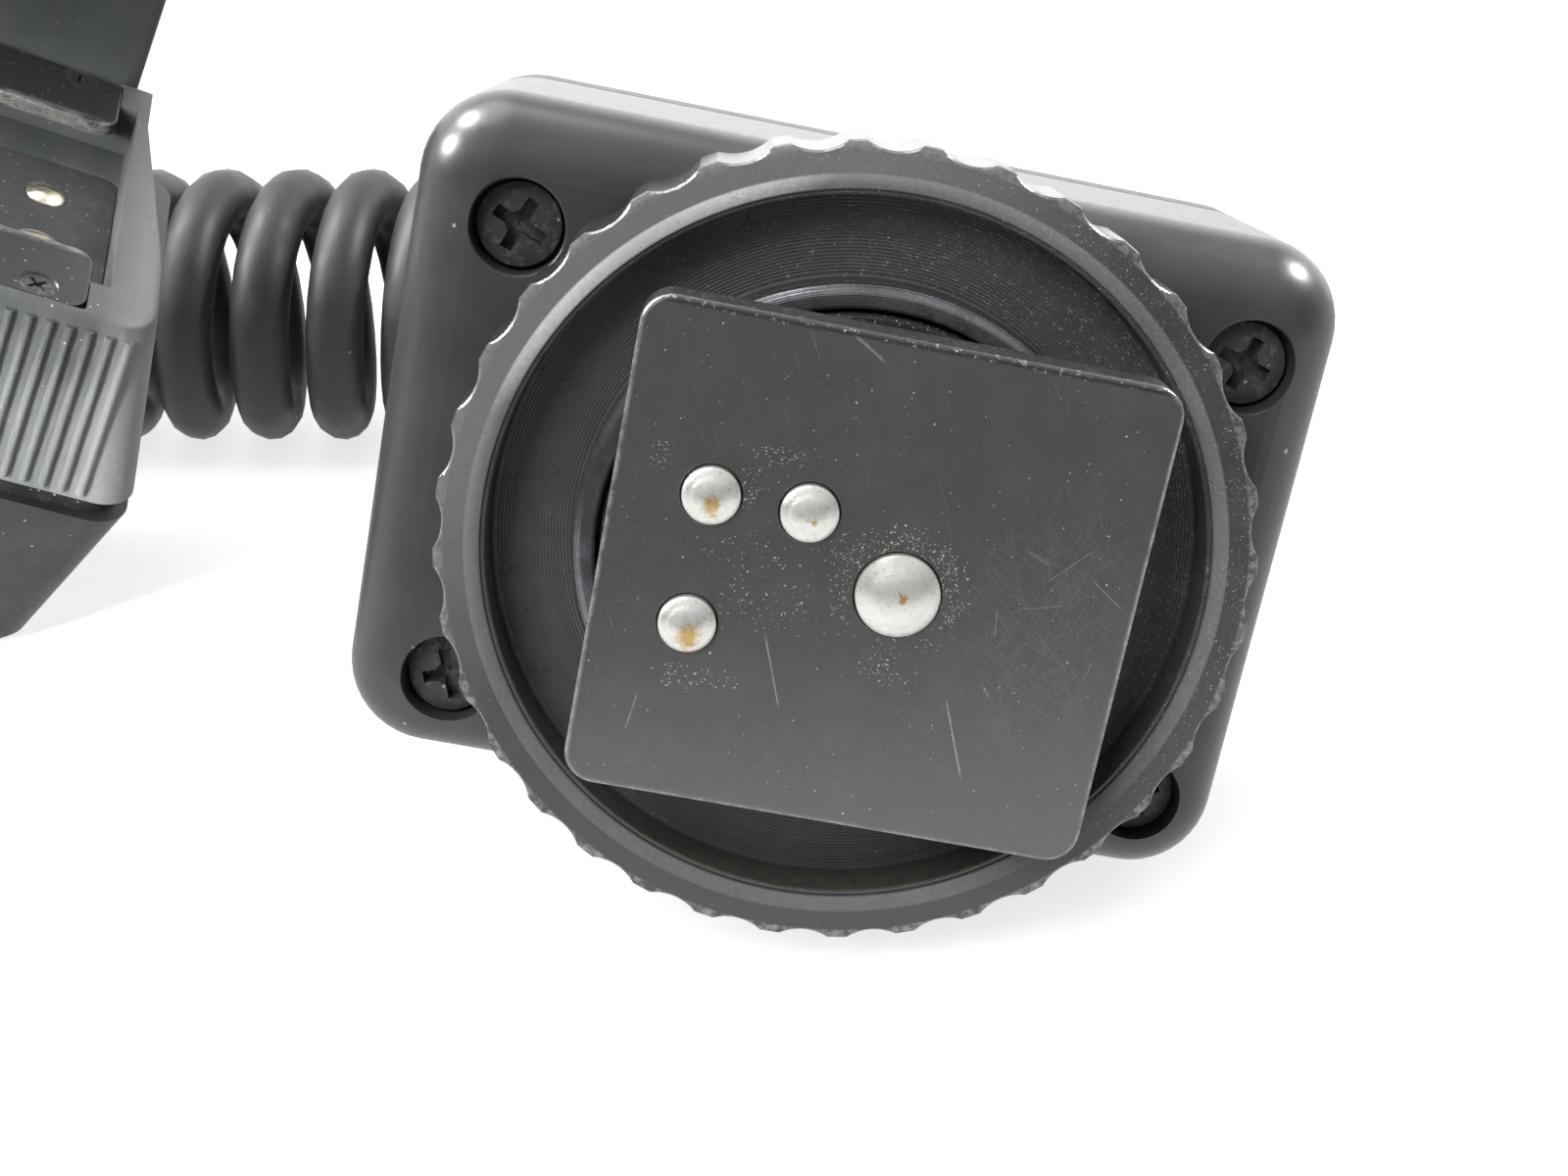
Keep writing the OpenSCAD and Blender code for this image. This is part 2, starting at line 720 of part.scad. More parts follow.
// The wall behind the shoe that keeps the flash from tipping back
module riser() {
    left = block_right - block_l + side_draft;
    translate([(riser_right + left) / 2, riser_front + riser_t / 2, cheek_z]) hull() {
        linear_extrude(0.01) rounded_outline(riser_right - left, riser_t, 1);
        translate([0, 0, riser_top - cheek_z]) linear_extrude(0.01)
            rounded_outline(riser_right - left, riser_t - 1, 1);
    }
}

module at_corners_from(x, p) {
    translate([x, 0]) at_corners(p) children();
}

module rail_screw_places() {
    for (x = [-1, 1], y = [-1, 1])
        translate([stop_x - 1 - rail_l / 2 + x * (rail_l / 2 - 2.4), y * rail_screw_y, 0])
            children();
}

module rail_screw_holes(r) {
    rail_screw_places() translate([0, 0, lip_z - rail_screw_l])
        cylinder(r = r, h = rail_screw_l + cut, $fn = 32);
}

module shoe_rails() {
    color("#4a4c4f") place_shoe() difference() {
        for (y = [-1, 1]) translate([stop_x - rail_l / 2 - 1, y * (lip_gap + rail_w) / 2, lip_z])
            slab(rail_l, rail_w, lip_t, rail_end_r);
        rail_screw_holes(rail_screw_r + seat);
        rail_screw_places() translate([0, 0, lip_z])
            cylinder(r = rail_screw_r + seat, h = lip_t + cut, $fn = 32);
        rail_screw_places() translate([0, 0, deck_z - rail_screw_head_t])
            cylinder(r = rail_screw_head_r + seat, h = rail_screw_head_t + cut, $fn = 32);
    }
}

module rail_screws() {
    color("#77797c") place_shoe() rail_screw_places() difference() {
        union() {
            translate([0, 0, deck_z - rail_screw_head_t])
                cylinder(r = rail_screw_head_r, h = rail_screw_head_t - 0.05, $fn = 32);
            translate([0, 0, lip_z - rail_screw_l + seat])
                cylinder(r = rail_screw_r, h = deck_z - rail_screw_head_t - lip_z + rail_screw_l, $fn = 32);
        }
        translate([0, 0, deck_z]) cross_cut(1.2 * rail_screw_head_r, 0.2, rail_screw_head_t * 0.6);
    }
}

module shoe_block() {
    color("#17181a") place_shoe() difference() {
        union() {
            translate([stop_x - insulator_l / 2, 0, -floor_t])
                slab(insulator_l - 2 * seat, 2 * (insulator_half - seat), floor_t, 1 - seat);
            translate([stop_x - insulator_l / 2, 0, shoe_board_z + seat])
                slab(insulator_l - 2, 2 * insulator_half - 2, -floor_t - shoe_board_z, 1);
        }
        translate([-centre_pin_x, 0, -contact_t]) contact_hole(centre_contact_r);
        for (i = [0:2]) translate([shoe_contact_at(i)[0], shoe_contact_at(i)[1], -contact_t])
            contact_hole(signal_contact_r);
    }
}

module contact_hole(r) {
    cylinder(r = r + seat, h = contact_t + cut);
    translate([0, 0, -contact_t - cut]) cylinder(r = tail_r + seat, h = contact_t + 2 * cut, $fn = 32);
}

// The shoe's contacts mirror the foot's pins, because the foot meets them face down
function shoe_contact_at(i) = let (p = signal_at[i]) [foot_shift - p[0], p[1]];

module contact(r) {
    dome = contact_up;
    bulge = (r * r + dome * dome) / (2 * dome);
    rotate_extrude() {
        translate([0, -contact_t + seat]) square([r, contact_t - seat]);
        translate([0, dome - bulge]) intersection() {
            circle(bulge, $fn = 128);
            translate([0, bulge - dome - 0.001]) square([r, dome + cut]);
        }
        translate([0, shoe_board_z + seat]) square([tail_r, -contact_t - shoe_board_z + cut]);
    }
}

module centre_contact() {
    color("#d0cabb") place_shoe() translate([-centre_pin_x, 0, 0]) contact(centre_contact_r);
}

module signal_contact(i) {
    color("#d0cabb") place_shoe() translate([shoe_contact_at(i)[0], shoe_contact_at(i)[1], 0])
        contact(signal_contact_r);
}

module shoe_board() {
    color("#2f6b3c") place_shoe() translate([block_mid, 0, shoe_board_z - shoe_board_t])
        slab(shoe_board_l, shoe_board_w, shoe_board_t, 1);
}

module seam_gasket() {
    l = block_l - 2 * gasket_in;
    w = block_w - 2 * gasket_in;
    color("#101112") place_shoe() translate([block_mid, 0, base_top + seat]) difference() {
        slab(l, w, gasket_t - 2 * seat, block_r);
        translate([0, 0, -cut]) slab(l - 2 * base_wall, w - 2 * base_wall, gasket_t + 2 * cut, 1);
        at_corners(base_screw_at) translate([0, 0, -cut])
            cylinder(r = base_boss_r + 0.2, h = gasket_t + 2 * cut);
    }
}

module base_cover() {
    bottom_l = block_l - 2 * base_draft;
    bottom_w = block_w - 2 * base_draft;
    color("#1a1b1d") place_shoe() difference() {
        union() {
            difference() {
                translate([block_mid, 0, base_top]) mirror([0, 0, 1])
                    drafted(block_l, block_w, base_h, base_draft, block_r);
                translate([block_mid, 0, base_z + 2.5 * base_wall])
                    slab(bottom_l - 2 * base_wall, bottom_w - 2 * base_wall, base_h, 1);
            }
            at_corners_from(block_mid, base_screw_at) translate([0, 0, base_top - base_wall])
                cylinder(r = base_boss_r, h = base_wall + gasket_t - seat);
            boot_place() rotate([0, 90, 0]) cylinder(r = boot_r + boot_boss, h = boot_wall);
        }
        at_corners_from(block_mid, base_screw_at) {
            translate([0, 0, base_z - cut])
                cylinder(r = base_screw_r + slip, h = base_h + gasket_t + 2 * cut);
            translate([0, 0, base_z - cut])
                cylinder(r = base_screw_head_r + slip, h = base_h / 2 + cut);
        }
        translate([block_mid, 0, base_z - cut]) cylinder(r = tripod_r + seat, h = tripod_t + cut);
        translate([block_mid, 0, base_z]) cylinder(r = bush_r + seat, h = base_h);
        boot_place() translate([-cut, 0, 0]) rotate([0, 90, 0])
            cylinder(r = boot_neck_r + seat, h = boot_wall + 2 * cut);
    }
}

module base_screws() {
    top = seam_z + base_screw_bite - 2 * seat;
    seat_z = base_z + base_h / 2;
    color("#141414") place_shoe() at_corners_from(block_mid, base_screw_at) {
        translate([0, 0, seat_z]) cylinder(r = base_screw_r, h = top - seat_z);
        translate([0, 0, seat_z - base_screw_head_t]) difference() {
            cylinder(r = base_screw_head_r, h = base_screw_head_t);
            mirror([0, 0, 1]) cross_cut(1.4 * base_screw_head_r, 0.4, base_screw_head_t / 2);
        }
    }
}

module tripod_bush() {
    top = base_z + 2.5 * base_wall + bush_flange_t;
    color("#b9bab6") place_shoe() translate([block_mid, 0, 0]) difference() {
        union() {
            translate([0, 0, base_z + tripod_t + seat])
                cylinder(r = bush_r, h = top - base_z - tripod_t - seat);
            translate([0, 0, base_z + 2.5 * base_wall + seat])
                cylinder(r = bush_flange_r, h = bush_depth - 2.5 * base_wall + bush_flange_t);
        }
        translate([0, 0, base_z]) cylinder(r = bush_bore_r, h = bush_depth);
    }
}

module tripod_plate() {
    color("#7d7f82") place_shoe() translate([block_mid, 0, base_z]) difference() {
        cylinder(r = tripod_r, h = tripod_t);
        translate([0, 0, -cut]) cylinder(r = bush_bore_r + 0.4, h = tripod_t + 2 * cut);
    }
}

module shoe_boot() {
    color("#1b1c1e") place_shoe()
        boot_place() rotate([0, 90, 0]) boot(boot_wall);
}

// Where the boot's collar meets the base's left side
module boot_place() {
    translate([block_mid - block_l / 2 + boot_seat, shoe_boot_at[0], base_top + shoe_boot_at[1]])
        children();
}

/* Cord */

coil_turns = curls + 0.5;
coil_steps = coil_turns * curl_rings;
function coil_angle(i) = -360 * (coil_steps - i) / curl_rings;
function coil_point(i) = let (a = coil_angle(i))
    [coil_right[0] + curl_pitch * a / 360, coil_right[1] - coil_r * sin(a),
        coil_r + cord_r + coil_lift - coil_r * cos(a)];
function coil_normal(i) = let (a = coil_angle(i)) [0, -sin(a), -cos(a)];
coil_first = coil_point(0);
coil_last = coil_point(coil_steps);
coil_tail = [0, -cord_d, 0];
coil_points = concat([coil_first + coil_tail],
    [for (i = [0:coil_steps]) coil_point(i)], [coil_last + coil_tail]);
coil_normals = concat([coil_normal(0)],
    [for (i = [0:coil_steps]) coil_normal(i)], [coil_normal(coil_steps)]);

plug_exit = plug_point([boot_at[0], boot_at[1], back_z - boot_l]);
plug_way = plug_turn([0, 0, -1]);
shoe_exit = shoe_point([block_mid - block_l / 2 + boot_seat - boot_l, shoe_boot_at[0],
    base_top + shoe_boot_at[1]]);
shoe_way = shoe_turned([-1, 0, 0]);
plug_lead_points = concat([plug_exit, plug_exit + cord_d * plug_way], plug_route,
    [coil_last + 2 * coil_tail, coil_last + coil_tail]);
shoe_lead_points = concat([shoe_exit, shoe_exit + cord_d * shoe_way], shoe_route,
    [coil_first + 2 * coil_tail, coil_first + coil_tail]);
function length_of(p) = len(p) < 2 ? 0 : norm(p[1] - p[0]) + length_of([for (i = [1:len(p) - 1]) p[i]]);
cord_length = length_of(plug_lead_points) + length_of(shoe_lead_points)
    + coil_turns * norm([2 * PI * coil_r, curl_pitch]) + 2 * cord_d;
echo(least_gap_between_curls = least_gap(coil_points, cord_r, 4, 12));
echo(cord_length = cord_length);

module lead(points) {
    on_table() tube(points, [for (p = points) [0, 0, 1]], cord_r, lead_sides);
}

module plug_lead() {
    color("#2b2c2e") lead(plug_lead_points);
}

module curly_coil() {
    color("#2b2c2e") on_table() tube(coil_points, coil_normals, cord_r, coil_sides);
}

module shoe_lead() {
    color("#2b2c2e") lead(shoe_lead_points);
}

plug_housing();
plug_cover();
plug_screws();
threaded_post();
post_screws();
foot_plate();
foot_screws();
lock_ring();
thrust_washer();
pin_carrier();
centre_pin();
signal_pin(0);  // signal_pin_a
signal_pin(1);  // signal_pin_b
signal_pin(2);  // signal_pin_c
pin_spring(centre_at, centre_pin_r);  // centre_spring
pin_spring(signal_at[0], signal_pin_r);  // signal_spring_a
pin_spring(signal_at[1], signal_pin_r);  // signal_spring_b
pin_spring(signal_at[2], signal_pin_r);  // signal_spring_c
plug_board();
plug_boot();
shoe_housing();
shoe_rails();
rail_screws();
shoe_block();
centre_contact();
signal_contact(0);  // signal_contact_a
signal_contact(1);  // signal_contact_b
signal_contact(2);  // signal_contact_c
shoe_board();
seam_gasket();
base_cover();
base_screws();
tripod_bush();
tripod_plate();
shoe_boot();
plug_lead();
curly_coil();
shoe_lead();
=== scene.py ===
import json
import math

import bmesh
import bpy
from mathutils import Euler, Matrix, Vector

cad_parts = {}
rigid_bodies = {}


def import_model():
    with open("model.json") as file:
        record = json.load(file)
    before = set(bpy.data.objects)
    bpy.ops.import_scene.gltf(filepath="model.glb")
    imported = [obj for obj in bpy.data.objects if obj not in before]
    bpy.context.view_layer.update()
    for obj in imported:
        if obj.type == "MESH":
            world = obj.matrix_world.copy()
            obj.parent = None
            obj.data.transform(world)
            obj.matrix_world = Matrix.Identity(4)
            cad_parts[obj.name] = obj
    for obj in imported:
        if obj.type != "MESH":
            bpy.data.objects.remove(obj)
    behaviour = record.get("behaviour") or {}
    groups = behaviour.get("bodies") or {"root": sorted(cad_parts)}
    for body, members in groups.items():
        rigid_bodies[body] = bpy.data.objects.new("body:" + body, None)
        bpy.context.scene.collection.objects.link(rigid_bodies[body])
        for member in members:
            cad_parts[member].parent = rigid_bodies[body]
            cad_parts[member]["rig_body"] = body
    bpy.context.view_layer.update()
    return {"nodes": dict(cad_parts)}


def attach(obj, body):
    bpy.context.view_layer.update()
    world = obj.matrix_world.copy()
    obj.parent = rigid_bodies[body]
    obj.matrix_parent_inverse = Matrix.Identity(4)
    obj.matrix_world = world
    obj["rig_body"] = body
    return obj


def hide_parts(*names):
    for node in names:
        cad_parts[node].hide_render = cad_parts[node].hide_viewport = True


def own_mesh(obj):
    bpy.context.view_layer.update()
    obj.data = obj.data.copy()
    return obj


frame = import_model()
nodes = frame["nodes"]


# ---------------------------------------------------------------------------
# Table, camera and light. A white sheet runs under and behind the cord. Wide
# lamps stand in front, above and behind, a narrow one picks out the block,
# and three small ones only glint in what is glossy.
camera = bpy.data.objects.new("camera", bpy.data.cameras.new("camera"))
bpy.context.scene.collection.objects.link(camera)
bpy.context.scene.camera = camera
camera.location = (0.0288, -0.0977, 0.04525)
camera.rotation_euler = (math.radians(90 - 21.63), 0, 0)
camera.data.sensor_fit = "HORIZONTAL"
camera.data.sensor_width = 36
camera.data.lens = 47.0
camera.data.clip_start = 0.005
camera.data.clip_end = 20

bpy.context.scene.view_settings.view_transform = "Standard"

studio = bpy.data.worlds.new("studio")
bpy.context.scene.world = studio
studio.use_nodes = True
sky = studio.node_tree
sky.nodes["Background"].inputs["Color"].default_value = (1.0, 1.0, 1.0, 1)


def shown_white(tree, lit, shown, seen_white):
    """A strength of lit for the light that falls on things, shown where mirrored, and seen_white to the eye."""
    ray = tree.nodes.new("ShaderNodeLightPath")
    level = tree.nodes.new("ShaderNodeMix")
    tree.links.new(ray.outputs["Is Glossy Ray"], level.inputs["Factor"])
    level.inputs["A"].default_value = lit
    tree.links.new(shown, level.inputs["B"])
    seen = tree.nodes.new("ShaderNodeMix")
    tree.links.new(ray.outputs["Is Camera Ray"], seen.inputs["Factor"])
    tree.links.new(level.outputs[0], seen.inputs["A"])
    seen.inputs["B"].default_value = seen_white
    return seen.outputs[0]


def graded(tree, value, low, high, dim, bright):
    """Runs from dim to bright while the value goes from low to high."""
    node = tree.nodes.new("ShaderNodeMapRange")
    tree.links.new(value, node.inputs["Value"])
    for label, number in (("From Min", low), ("From Max", high), ("To Min", dim), ("To Max", bright)):
        node.inputs[label].default_value = number
    return node


# The room in front of the sheet is dim, its ceiling paler, and the wall behind it white.
where = sky.nodes.new("ShaderNodeTexCoord")
apart = sky.nodes.new("ShaderNodeSeparateXYZ")
sky.links.new(where.outputs["Generated"], apart.inputs[0])
wall_white = graded(sky, apart.outputs["Y"], -0.25, 0.3, 0.03, 1.0)
ceiling_white = graded(sky, apart.outputs["Z"], 0.22, 0.7, 0.03, 0.6)
brighter = sky.nodes.new("ShaderNodeMath")
brighter.operation = "MAXIMUM"
sky.links.new(wall_white.outputs[0], brighter.inputs[0])
sky.links.new(ceiling_white.outputs[0], brighter.inputs[1])
sky.links.new(shown_white(sky, 0.24, brighter.outputs[0], 1.0), sky.nodes["Background"].inputs["Strength"])


def lamp(name, place, aim, wide, deep, watts):
    """A flat lamp of that width and depth, turned towards a point."""
    light = bpy.data.lights.new(name, "AREA")
    light.shape = "RECTANGLE"
    light.size, light.size_y = wide, deep
    light.energy = watts
    thing = bpy.data.objects.new(name, light)
    bpy.context.scene.collection.objects.link(thing)
    thing.location = place
    thing.rotation_euler = (Vector(aim) - Vector(place)).to_track_quat("-Z", "Y").to_euler()
    return thing


lamp("front", (-0.22, -0.45, 0.42), (0.03, -0.03, 0.02), 0.3, 0.3, 3.6).visible_glossy = False
lamp("left", (-0.07, -0.16, 0.07), (-0.018, 0.004, 0.013), 0.03, 0.03, 0.015).visible_glossy = False
bpy.data.lights["left"].spread = math.radians(19)
lamp("overhead", (-0.06, 0.05, 0.36), (0.02, 0.0, 0.0), 0.26, 0.22, 0.8)
lamp("behind", (0.05, 0.55, 0.22), (0.03, 0.0, 0.02), 1.5, 0.5, 2.8)
for name, place in {"left_glint": (-0.22, 0.07, 0.36), "left_glint_low": (-0.33, -0.02, 0.23),
                    "right_glint": (0.36, 0.07, 0.30)}.items():
    lamp(name, place, (0.031, -0.03, 0.03), 0.026, 0.026, 2.6).visible_diffuse = False

sheet_shape = bmesh.new()
bmesh.ops.create_grid(sheet_shape, x_segments=2, y_segments=2, size=3.0)
paper = bpy.data.objects.new("paper", bpy.data.meshes.new("paper"))
sheet_shape.to_mesh(paper.data)
sheet_shape.free()
bpy.context.scene.collection.objects.link(paper)
paper_white = bpy.data.materials.new("paper_white")
paper_white.use_nodes = True
pulp = paper_white.node_tree
matt = pulp.nodes["Principled BSDF"]
matt.inputs["Base Color"].default_value = (0.55, 0.55, 0.545, 1)
matt.inputs["Roughness"].default_value = 0.9
matt.inputs["Specular IOR Level"].default_value = 0.1
glow = pulp.nodes.new("ShaderNodeEmission")
where = pulp.nodes.new("ShaderNodeTexCoord")
apart = pulp.nodes.new("ShaderNodeSeparateXYZ")
pulp.links.new(where.outputs["Object"], apart.inputs[0])
# Where mirrored, the sheet glows white near the cord and dims towards the front: painted shade on it, seen only in
# reflections.
glow_when_mirrored = graded(pulp, apart.outputs["Y"], -0.105, -0.05, 0.03, 1.0)
glow_when_mirrored.interpolation_type = "SMOOTHSTEP"
pulp.links.new(shown_white(pulp, 0.25, glow_when_mirrored.outputs[0], 0.75), glow.inputs["Strength"])
both = pulp.nodes.new("ShaderNodeAddShader")
pulp.links.new(matt.outputs[0], both.inputs[0])
pulp.links.new(glow.outputs[0], both.inputs[1])
mirrored = pulp.nodes.new("ShaderNodeMixShader")
pulp.links.new(pulp.nodes.new("ShaderNodeLightPath").outputs["Is Glossy Ray"], mirrored.inputs[0])
pulp.links.new(both.outputs[0], mirrored.inputs[1])
pulp.links.new(glow.outputs[0], mirrored.inputs[2])
pulp.links.new(mirrored.outputs[0], pulp.nodes["Material Output"].inputs["Surface"])
paper.data.materials.append(paper_white)


# ---------------------------------------------------------------------------
# Cord: one soft-jacketed cable, 4 mm thick, wound over a rod when warm so that
# its middle keeps 28 curls. It leaves the plug's back and ends in the block.
MM = 0.001
plug_place = (Matrix.Translation((31.2 * MM, -25.2 * MM, 17.55 * MM))
              @ Matrix.Rotation(math.radians(1.2), 4, "Z")
              @ Matrix.Rotation(math.radians(-5), 4, "X")
              @ Matrix.Rotation(math.radians(11.1), 4, "Y")
              @ Matrix.Rotation(math.radians(90), 4, "X")
              @ Matrix.Scale(MM, 4))
block_place = (Matrix.Translation((-16.6 * MM, 10.0 * MM, 25.6 * MM))
               @ Euler([math.radians(a) for a in (20.4, 22.2, 17.9)], "XYZ").to_matrix().to_4x4()
               @ Matrix.Scale(MM, 4))

cord_d = 4.0
curl_r = 19.4 / 2 - cord_d / 2
curl_pitch = 5.2
curl_turns = 28.5
curl_end = Vector((27.8, 47.3, curl_r + cord_d / 2 + 0.03))
curl_steps = 24


def curl_point(turn):
    a = 2 * math.pi * turn
    return curl_end + Vector((curl_pitch * turn, -curl_r * math.sin(a), -curl_r * math.cos(a)))


boot_at = (6, -6)
boot_l = 14
plug_back = -22.2
block_boot_at = (-16.8, 2, -13.0)
plug_exit = plug_place @ Vector((*boot_at, plug_back - boot_l)) / MM
plug_way = (plug_place.to_3x3() @ Vector((0, 0, -1))).normalized()
block_exit = block_place @ (Vector(block_boot_at) - Vector((boot_l, 0, 0))) / MM
block_way = (block_place.to_3x3() @ Vector((-1, 0, 0))).normalized()
plug_side = [(34.8, 20.3, 4.2), (33.0, 26.3, 2.6), (30.6, 32.8, 2.1)]
block_side = [(-59.7, 2.6, 28.6), (-66.7, 0.3, 26.2), (-73.7, -1.9, 20.8), (-80.7, -3.7, 13.6),
              (-87.7, -4.7, 6.6), (-95.2, -4.7, 2.4), (-103.2, -3.1, 2.1), (-110.7, 1.3, 2.1),
              (-116.2, 7.8, 2.7), (-119.2, 15.3, 5.2), (-120.4, 23.3, 9.6), (-120.8, 31.3, 14.4)]
tail = Vector((0, -cord_d, 0))


def eased(points, steps):
    """A smooth run through the points, which keeps to each of them."""
    out = []
    for i in range(len(points) - 1):
        a = points[max(i - 1, 0)]
        b, c = points[i], points[i + 1]
        d = points[min(i + 2, len(points) - 1)]
        for k in range(steps):
            t = k / steps
            out.append(0.5 * ((2 * b) + (c - a) * t + (2 * a - 5 * b + 4 * c - d) * t ** 2
                              + (3 * b - a - 3 * c + d) * t ** 3))
    return out + [points[-1]]


first, last = curl_point(-curl_turns), curl_point(0)
from_plug = eased([plug_exit, plug_exit + cord_d * plug_way] + [Vector(p) for p in plug_side]
                  + [last + 2 * tail, last + tail, last], 4)
curls = [curl_point(-i / curl_steps) for i in range(1, int(curl_turns * curl_steps))]
to_block = eased([first, first + tail, first + 2 * tail] + [Vector(p) for p in reversed(block_side)]
                 + [block_exit + cord_d * block_way, block_exit], 4)
line = from_plug + curls + to_block

run = bpy.data.curves.new("cord", "CURVE")
run.dimensions = "3D"
run.bevel_depth = cord_d / 2 * MM
run.bevel_resolution = 5
run.use_fill_caps = True
strand = run.splines.new("POLY")
strand.points.add(len(line) - 1)
for spot, point in zip(strand.points, line):
    spot.co = (*(point * MM), 1)
strand.use_smooth = True
cord = bpy.data.objects.new("cord", run)
bpy.context.scene.collection.objects.link(cord)


class Sums:
    """Sums of numbers and sockets, for what is written node by node."""

    def times(self, a, b):
        return self.sum("MULTIPLY", a, b)

    def less(self, a, b):
        return self.sum("SUBTRACT", a, b)

    def plus(self, a, b):
        return self.sum("ADD", a, b)

    def across(self, x, y):
        """Distance from the axis."""
        return self.sum("SQRT", self.plus(self.times(x, x), self.times(y, y)))


class Finish(Sums):
    """A finish as it is mixed: its shader, and what varies it over the piece."""

    def __init__(self, name, colour, roughness, metal=0.0, **shader):
        self.material = bpy.data.materials.new(name)
        self.material.use_nodes = True
        self.material.diffuse_color = (*colour, 1)
        self.tree = self.material.node_tree
        self.shader = self.tree.nodes["Principled BSDF"]
        self.set(self.shader, Base_Color=(*colour, 1), Roughness=roughness, Metallic=metal, **shader)
        self.colour = (*colour, 1)

    def set(self, node, **values):
        """Fills a node's sockets and settings by their names."""
        for key, value in values.items():
            socket = node.inputs.get(key.replace("_", " "))
            if socket is not None and not hasattr(node, key):
                self.feed(socket, value)
            else:
                setattr(node, key, value)
        return node

    def feed(self, socket, value):
        if isinstance(value, bpy.types.NodeSocket):
            self.tree.links.new(value, socket)
        else:
            socket.default_value = value

    def add(self, kind, **values):
        return self.set(self.tree.nodes.new("ShaderNode" + kind), **values)

    def sum(self, how, a, b=0.0, c=0.0):
        node = self.add("Math", operation=how)
        for socket, value in zip(node.inputs, (a, b, c)):
            self.feed(socket, value)
        return node.outputs[0]

    def own(self, place, turn=0.0, at=(0, 0, 0), stretch=(1, 1, 1)):
        """Millimetres along the piece's own axes, whichever way it lies, from a point on it."""
        home = place.inverted()
        where = self.add("TexCoord")
        near = self.add("Mapping", Vector=where.outputs["Object"], Location=home.to_translation(),
                        Rotation=home.to_3x3().normalized().to_euler("XYZ"), Scale=[1 / MM] * 3)
        if turn == 0 and tuple(at) == (0, 0, 0) and tuple(stretch) == (1, 1, 1):
            return near.outputs[0]
        moved = self.add("Mapping", Vector=near.outputs[0], Location=[-v for v in at])
        turned = self.add("Mapping", Vector=moved.outputs[0], Rotation=(0, 0, -turn))
        return self.add("Mapping", Vector=turned.outputs[0], Scale=stretch).outputs[0]

    def axes(self, where):
        return self.add("SeparateXYZ", Vector=where).outputs[:3]

    def noise(self, where, scale, detail=3.0, rough=0.5):
        return self.add("TexNoise", Vector=where, Scale=scale, Detail=detail, Roughness=rough).outputs[0]

    def ramp(self, value, low, high, least=0.0, most=1.0):
        """Runs from least to most while the value goes from low to high."""
        node = self.add("MapRange", Value=value)
        for socket, number in zip(list(node.inputs)[1:5], (low, high, least, most)):
            self.feed(socket, number)
        return node.outputs[0]

    def patches(self, where, scale, detail, low, high, least=0.0, most=1.0, rough=0.5):
        """Cloudy patches, from least to most while the noise goes from low to high."""
        return self.ramp(self.noise(where, scale, detail, rough), low, high, least, most)

    def blend(self, share, under, over):
        node = self.add("Mix", data_type="RGBA")
        for socket, value in zip((node.inputs[0], node.inputs[6], node.inputs[7]), (share, under, over)):
            self.feed(socket, value)
        return node.outputs[2]

    def grains(self, where, apart, size, share):
        """Grains of dust of that size, in some of the cells of a lattice."""
        cell = self.add("TexVoronoi", Vector=where, Scale=1 / apart)
        pick = self.add("SeparateColor", Color=cell.outputs["Color"]).outputs
        near = self.sum("LESS_THAN", cell.outputs["Distance"], self.times(pick[1], size / apart))
        return self.times(near, self.sum("LESS_THAN", pick[0], share))

    def tint(self, share, over):
        """Lays a colour over what the shader has so far."""
        socket = self.shader.inputs["Base Color"]
        under = socket.links[0].from_socket if socket.links else self.colour
        self.feed(socket, self.blend(share, under, (*over, 1)))

    def dust(self, where, apart, size, share, colour):
        self.tint(self.grains(where, apart, size, share), colour)

    def shine(self, name, share, value):
        """Moves the shader's roughness or metal towards a value."""
        socket = self.shader.inputs[name]
        under = socket.links[0].from_socket if socket.links else socket.default_value
        self.feed(socket, self.sum("MULTIPLY_ADD", share, self.less(value, under), under))

    def bump(self, height, depth, strength=1.0):
        """Raises the surface by up to that many millimetres, over what it has so far."""
        node = self.add("Bump", Strength=strength, Distance=depth * MM, Height=height)
        socket = self.shader.inputs["Normal"]
        if socket.links:
            self.feed(node.inputs["Normal"], socket.links[0].from_socket)
        self.feed(socket, node.outputs[0])


jacket = Finish("cord_jacket", (0.044, 0.046, 0.049), 0.5, Specular_IOR_Level=0.35)
where = jacket.add("TexCoord").outputs["Object"]
rubbed = jacket.patches(where, 220, 4, 0.42, 0.75)
jacket.tint(rubbed, (0.068, 0.071, 0.075))
jacket.shine("Roughness", rubbed, 0.74)
jacket.dust(where, 0.0008, 0.00016, 0.05, (0.35, 0.33, 0.29))
jacket.bump(jacket.noise(where, 5200, 2), 0.03, 0.35)
run.materials.append(jacket.material)
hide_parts("plug_lead", "curly_coil", "shoe_lead")
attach(cord, "cord_and_ends")


# ---------------------------------------------------------------------------
# Plug, front shell: an injection-moulded ABS box, satin black, open at the
# back. Its front wall carries the threaded post, and four screws come in here.
face_z = -5.2
inside_z = -7.2
shell_z = -18.2
body = (37.4, 27.4)
body_mid = (-0.3, 0.6)
body_r = 3.5
wall = 2.0
post_r = 9.45
screw_at = (14.65, 9.4)
pocket_r = 1.85
shank_r = 0.95
corners = [(x, y) for x in (-1, 1) for y in (-1, 1)]


def rounded(l, w, r, z, mid=(0, 0), bend=10):
    """A loop of points round a rectangle with round corners, at height z."""
    out = []
    for sx, sy, start in ((1, 1, 0), (-1, 1, 90), (-1, -1, 180), (1, -1, 270)):
        for k in range(bend + 1):
            a = math.radians(start + 90 * k / bend)
            out.append((mid[0] + sx * (l / 2 - r) + r * math.cos(a),
                        mid[1] + sy * (w / 2 - r) + r * math.sin(a), z))
    return out


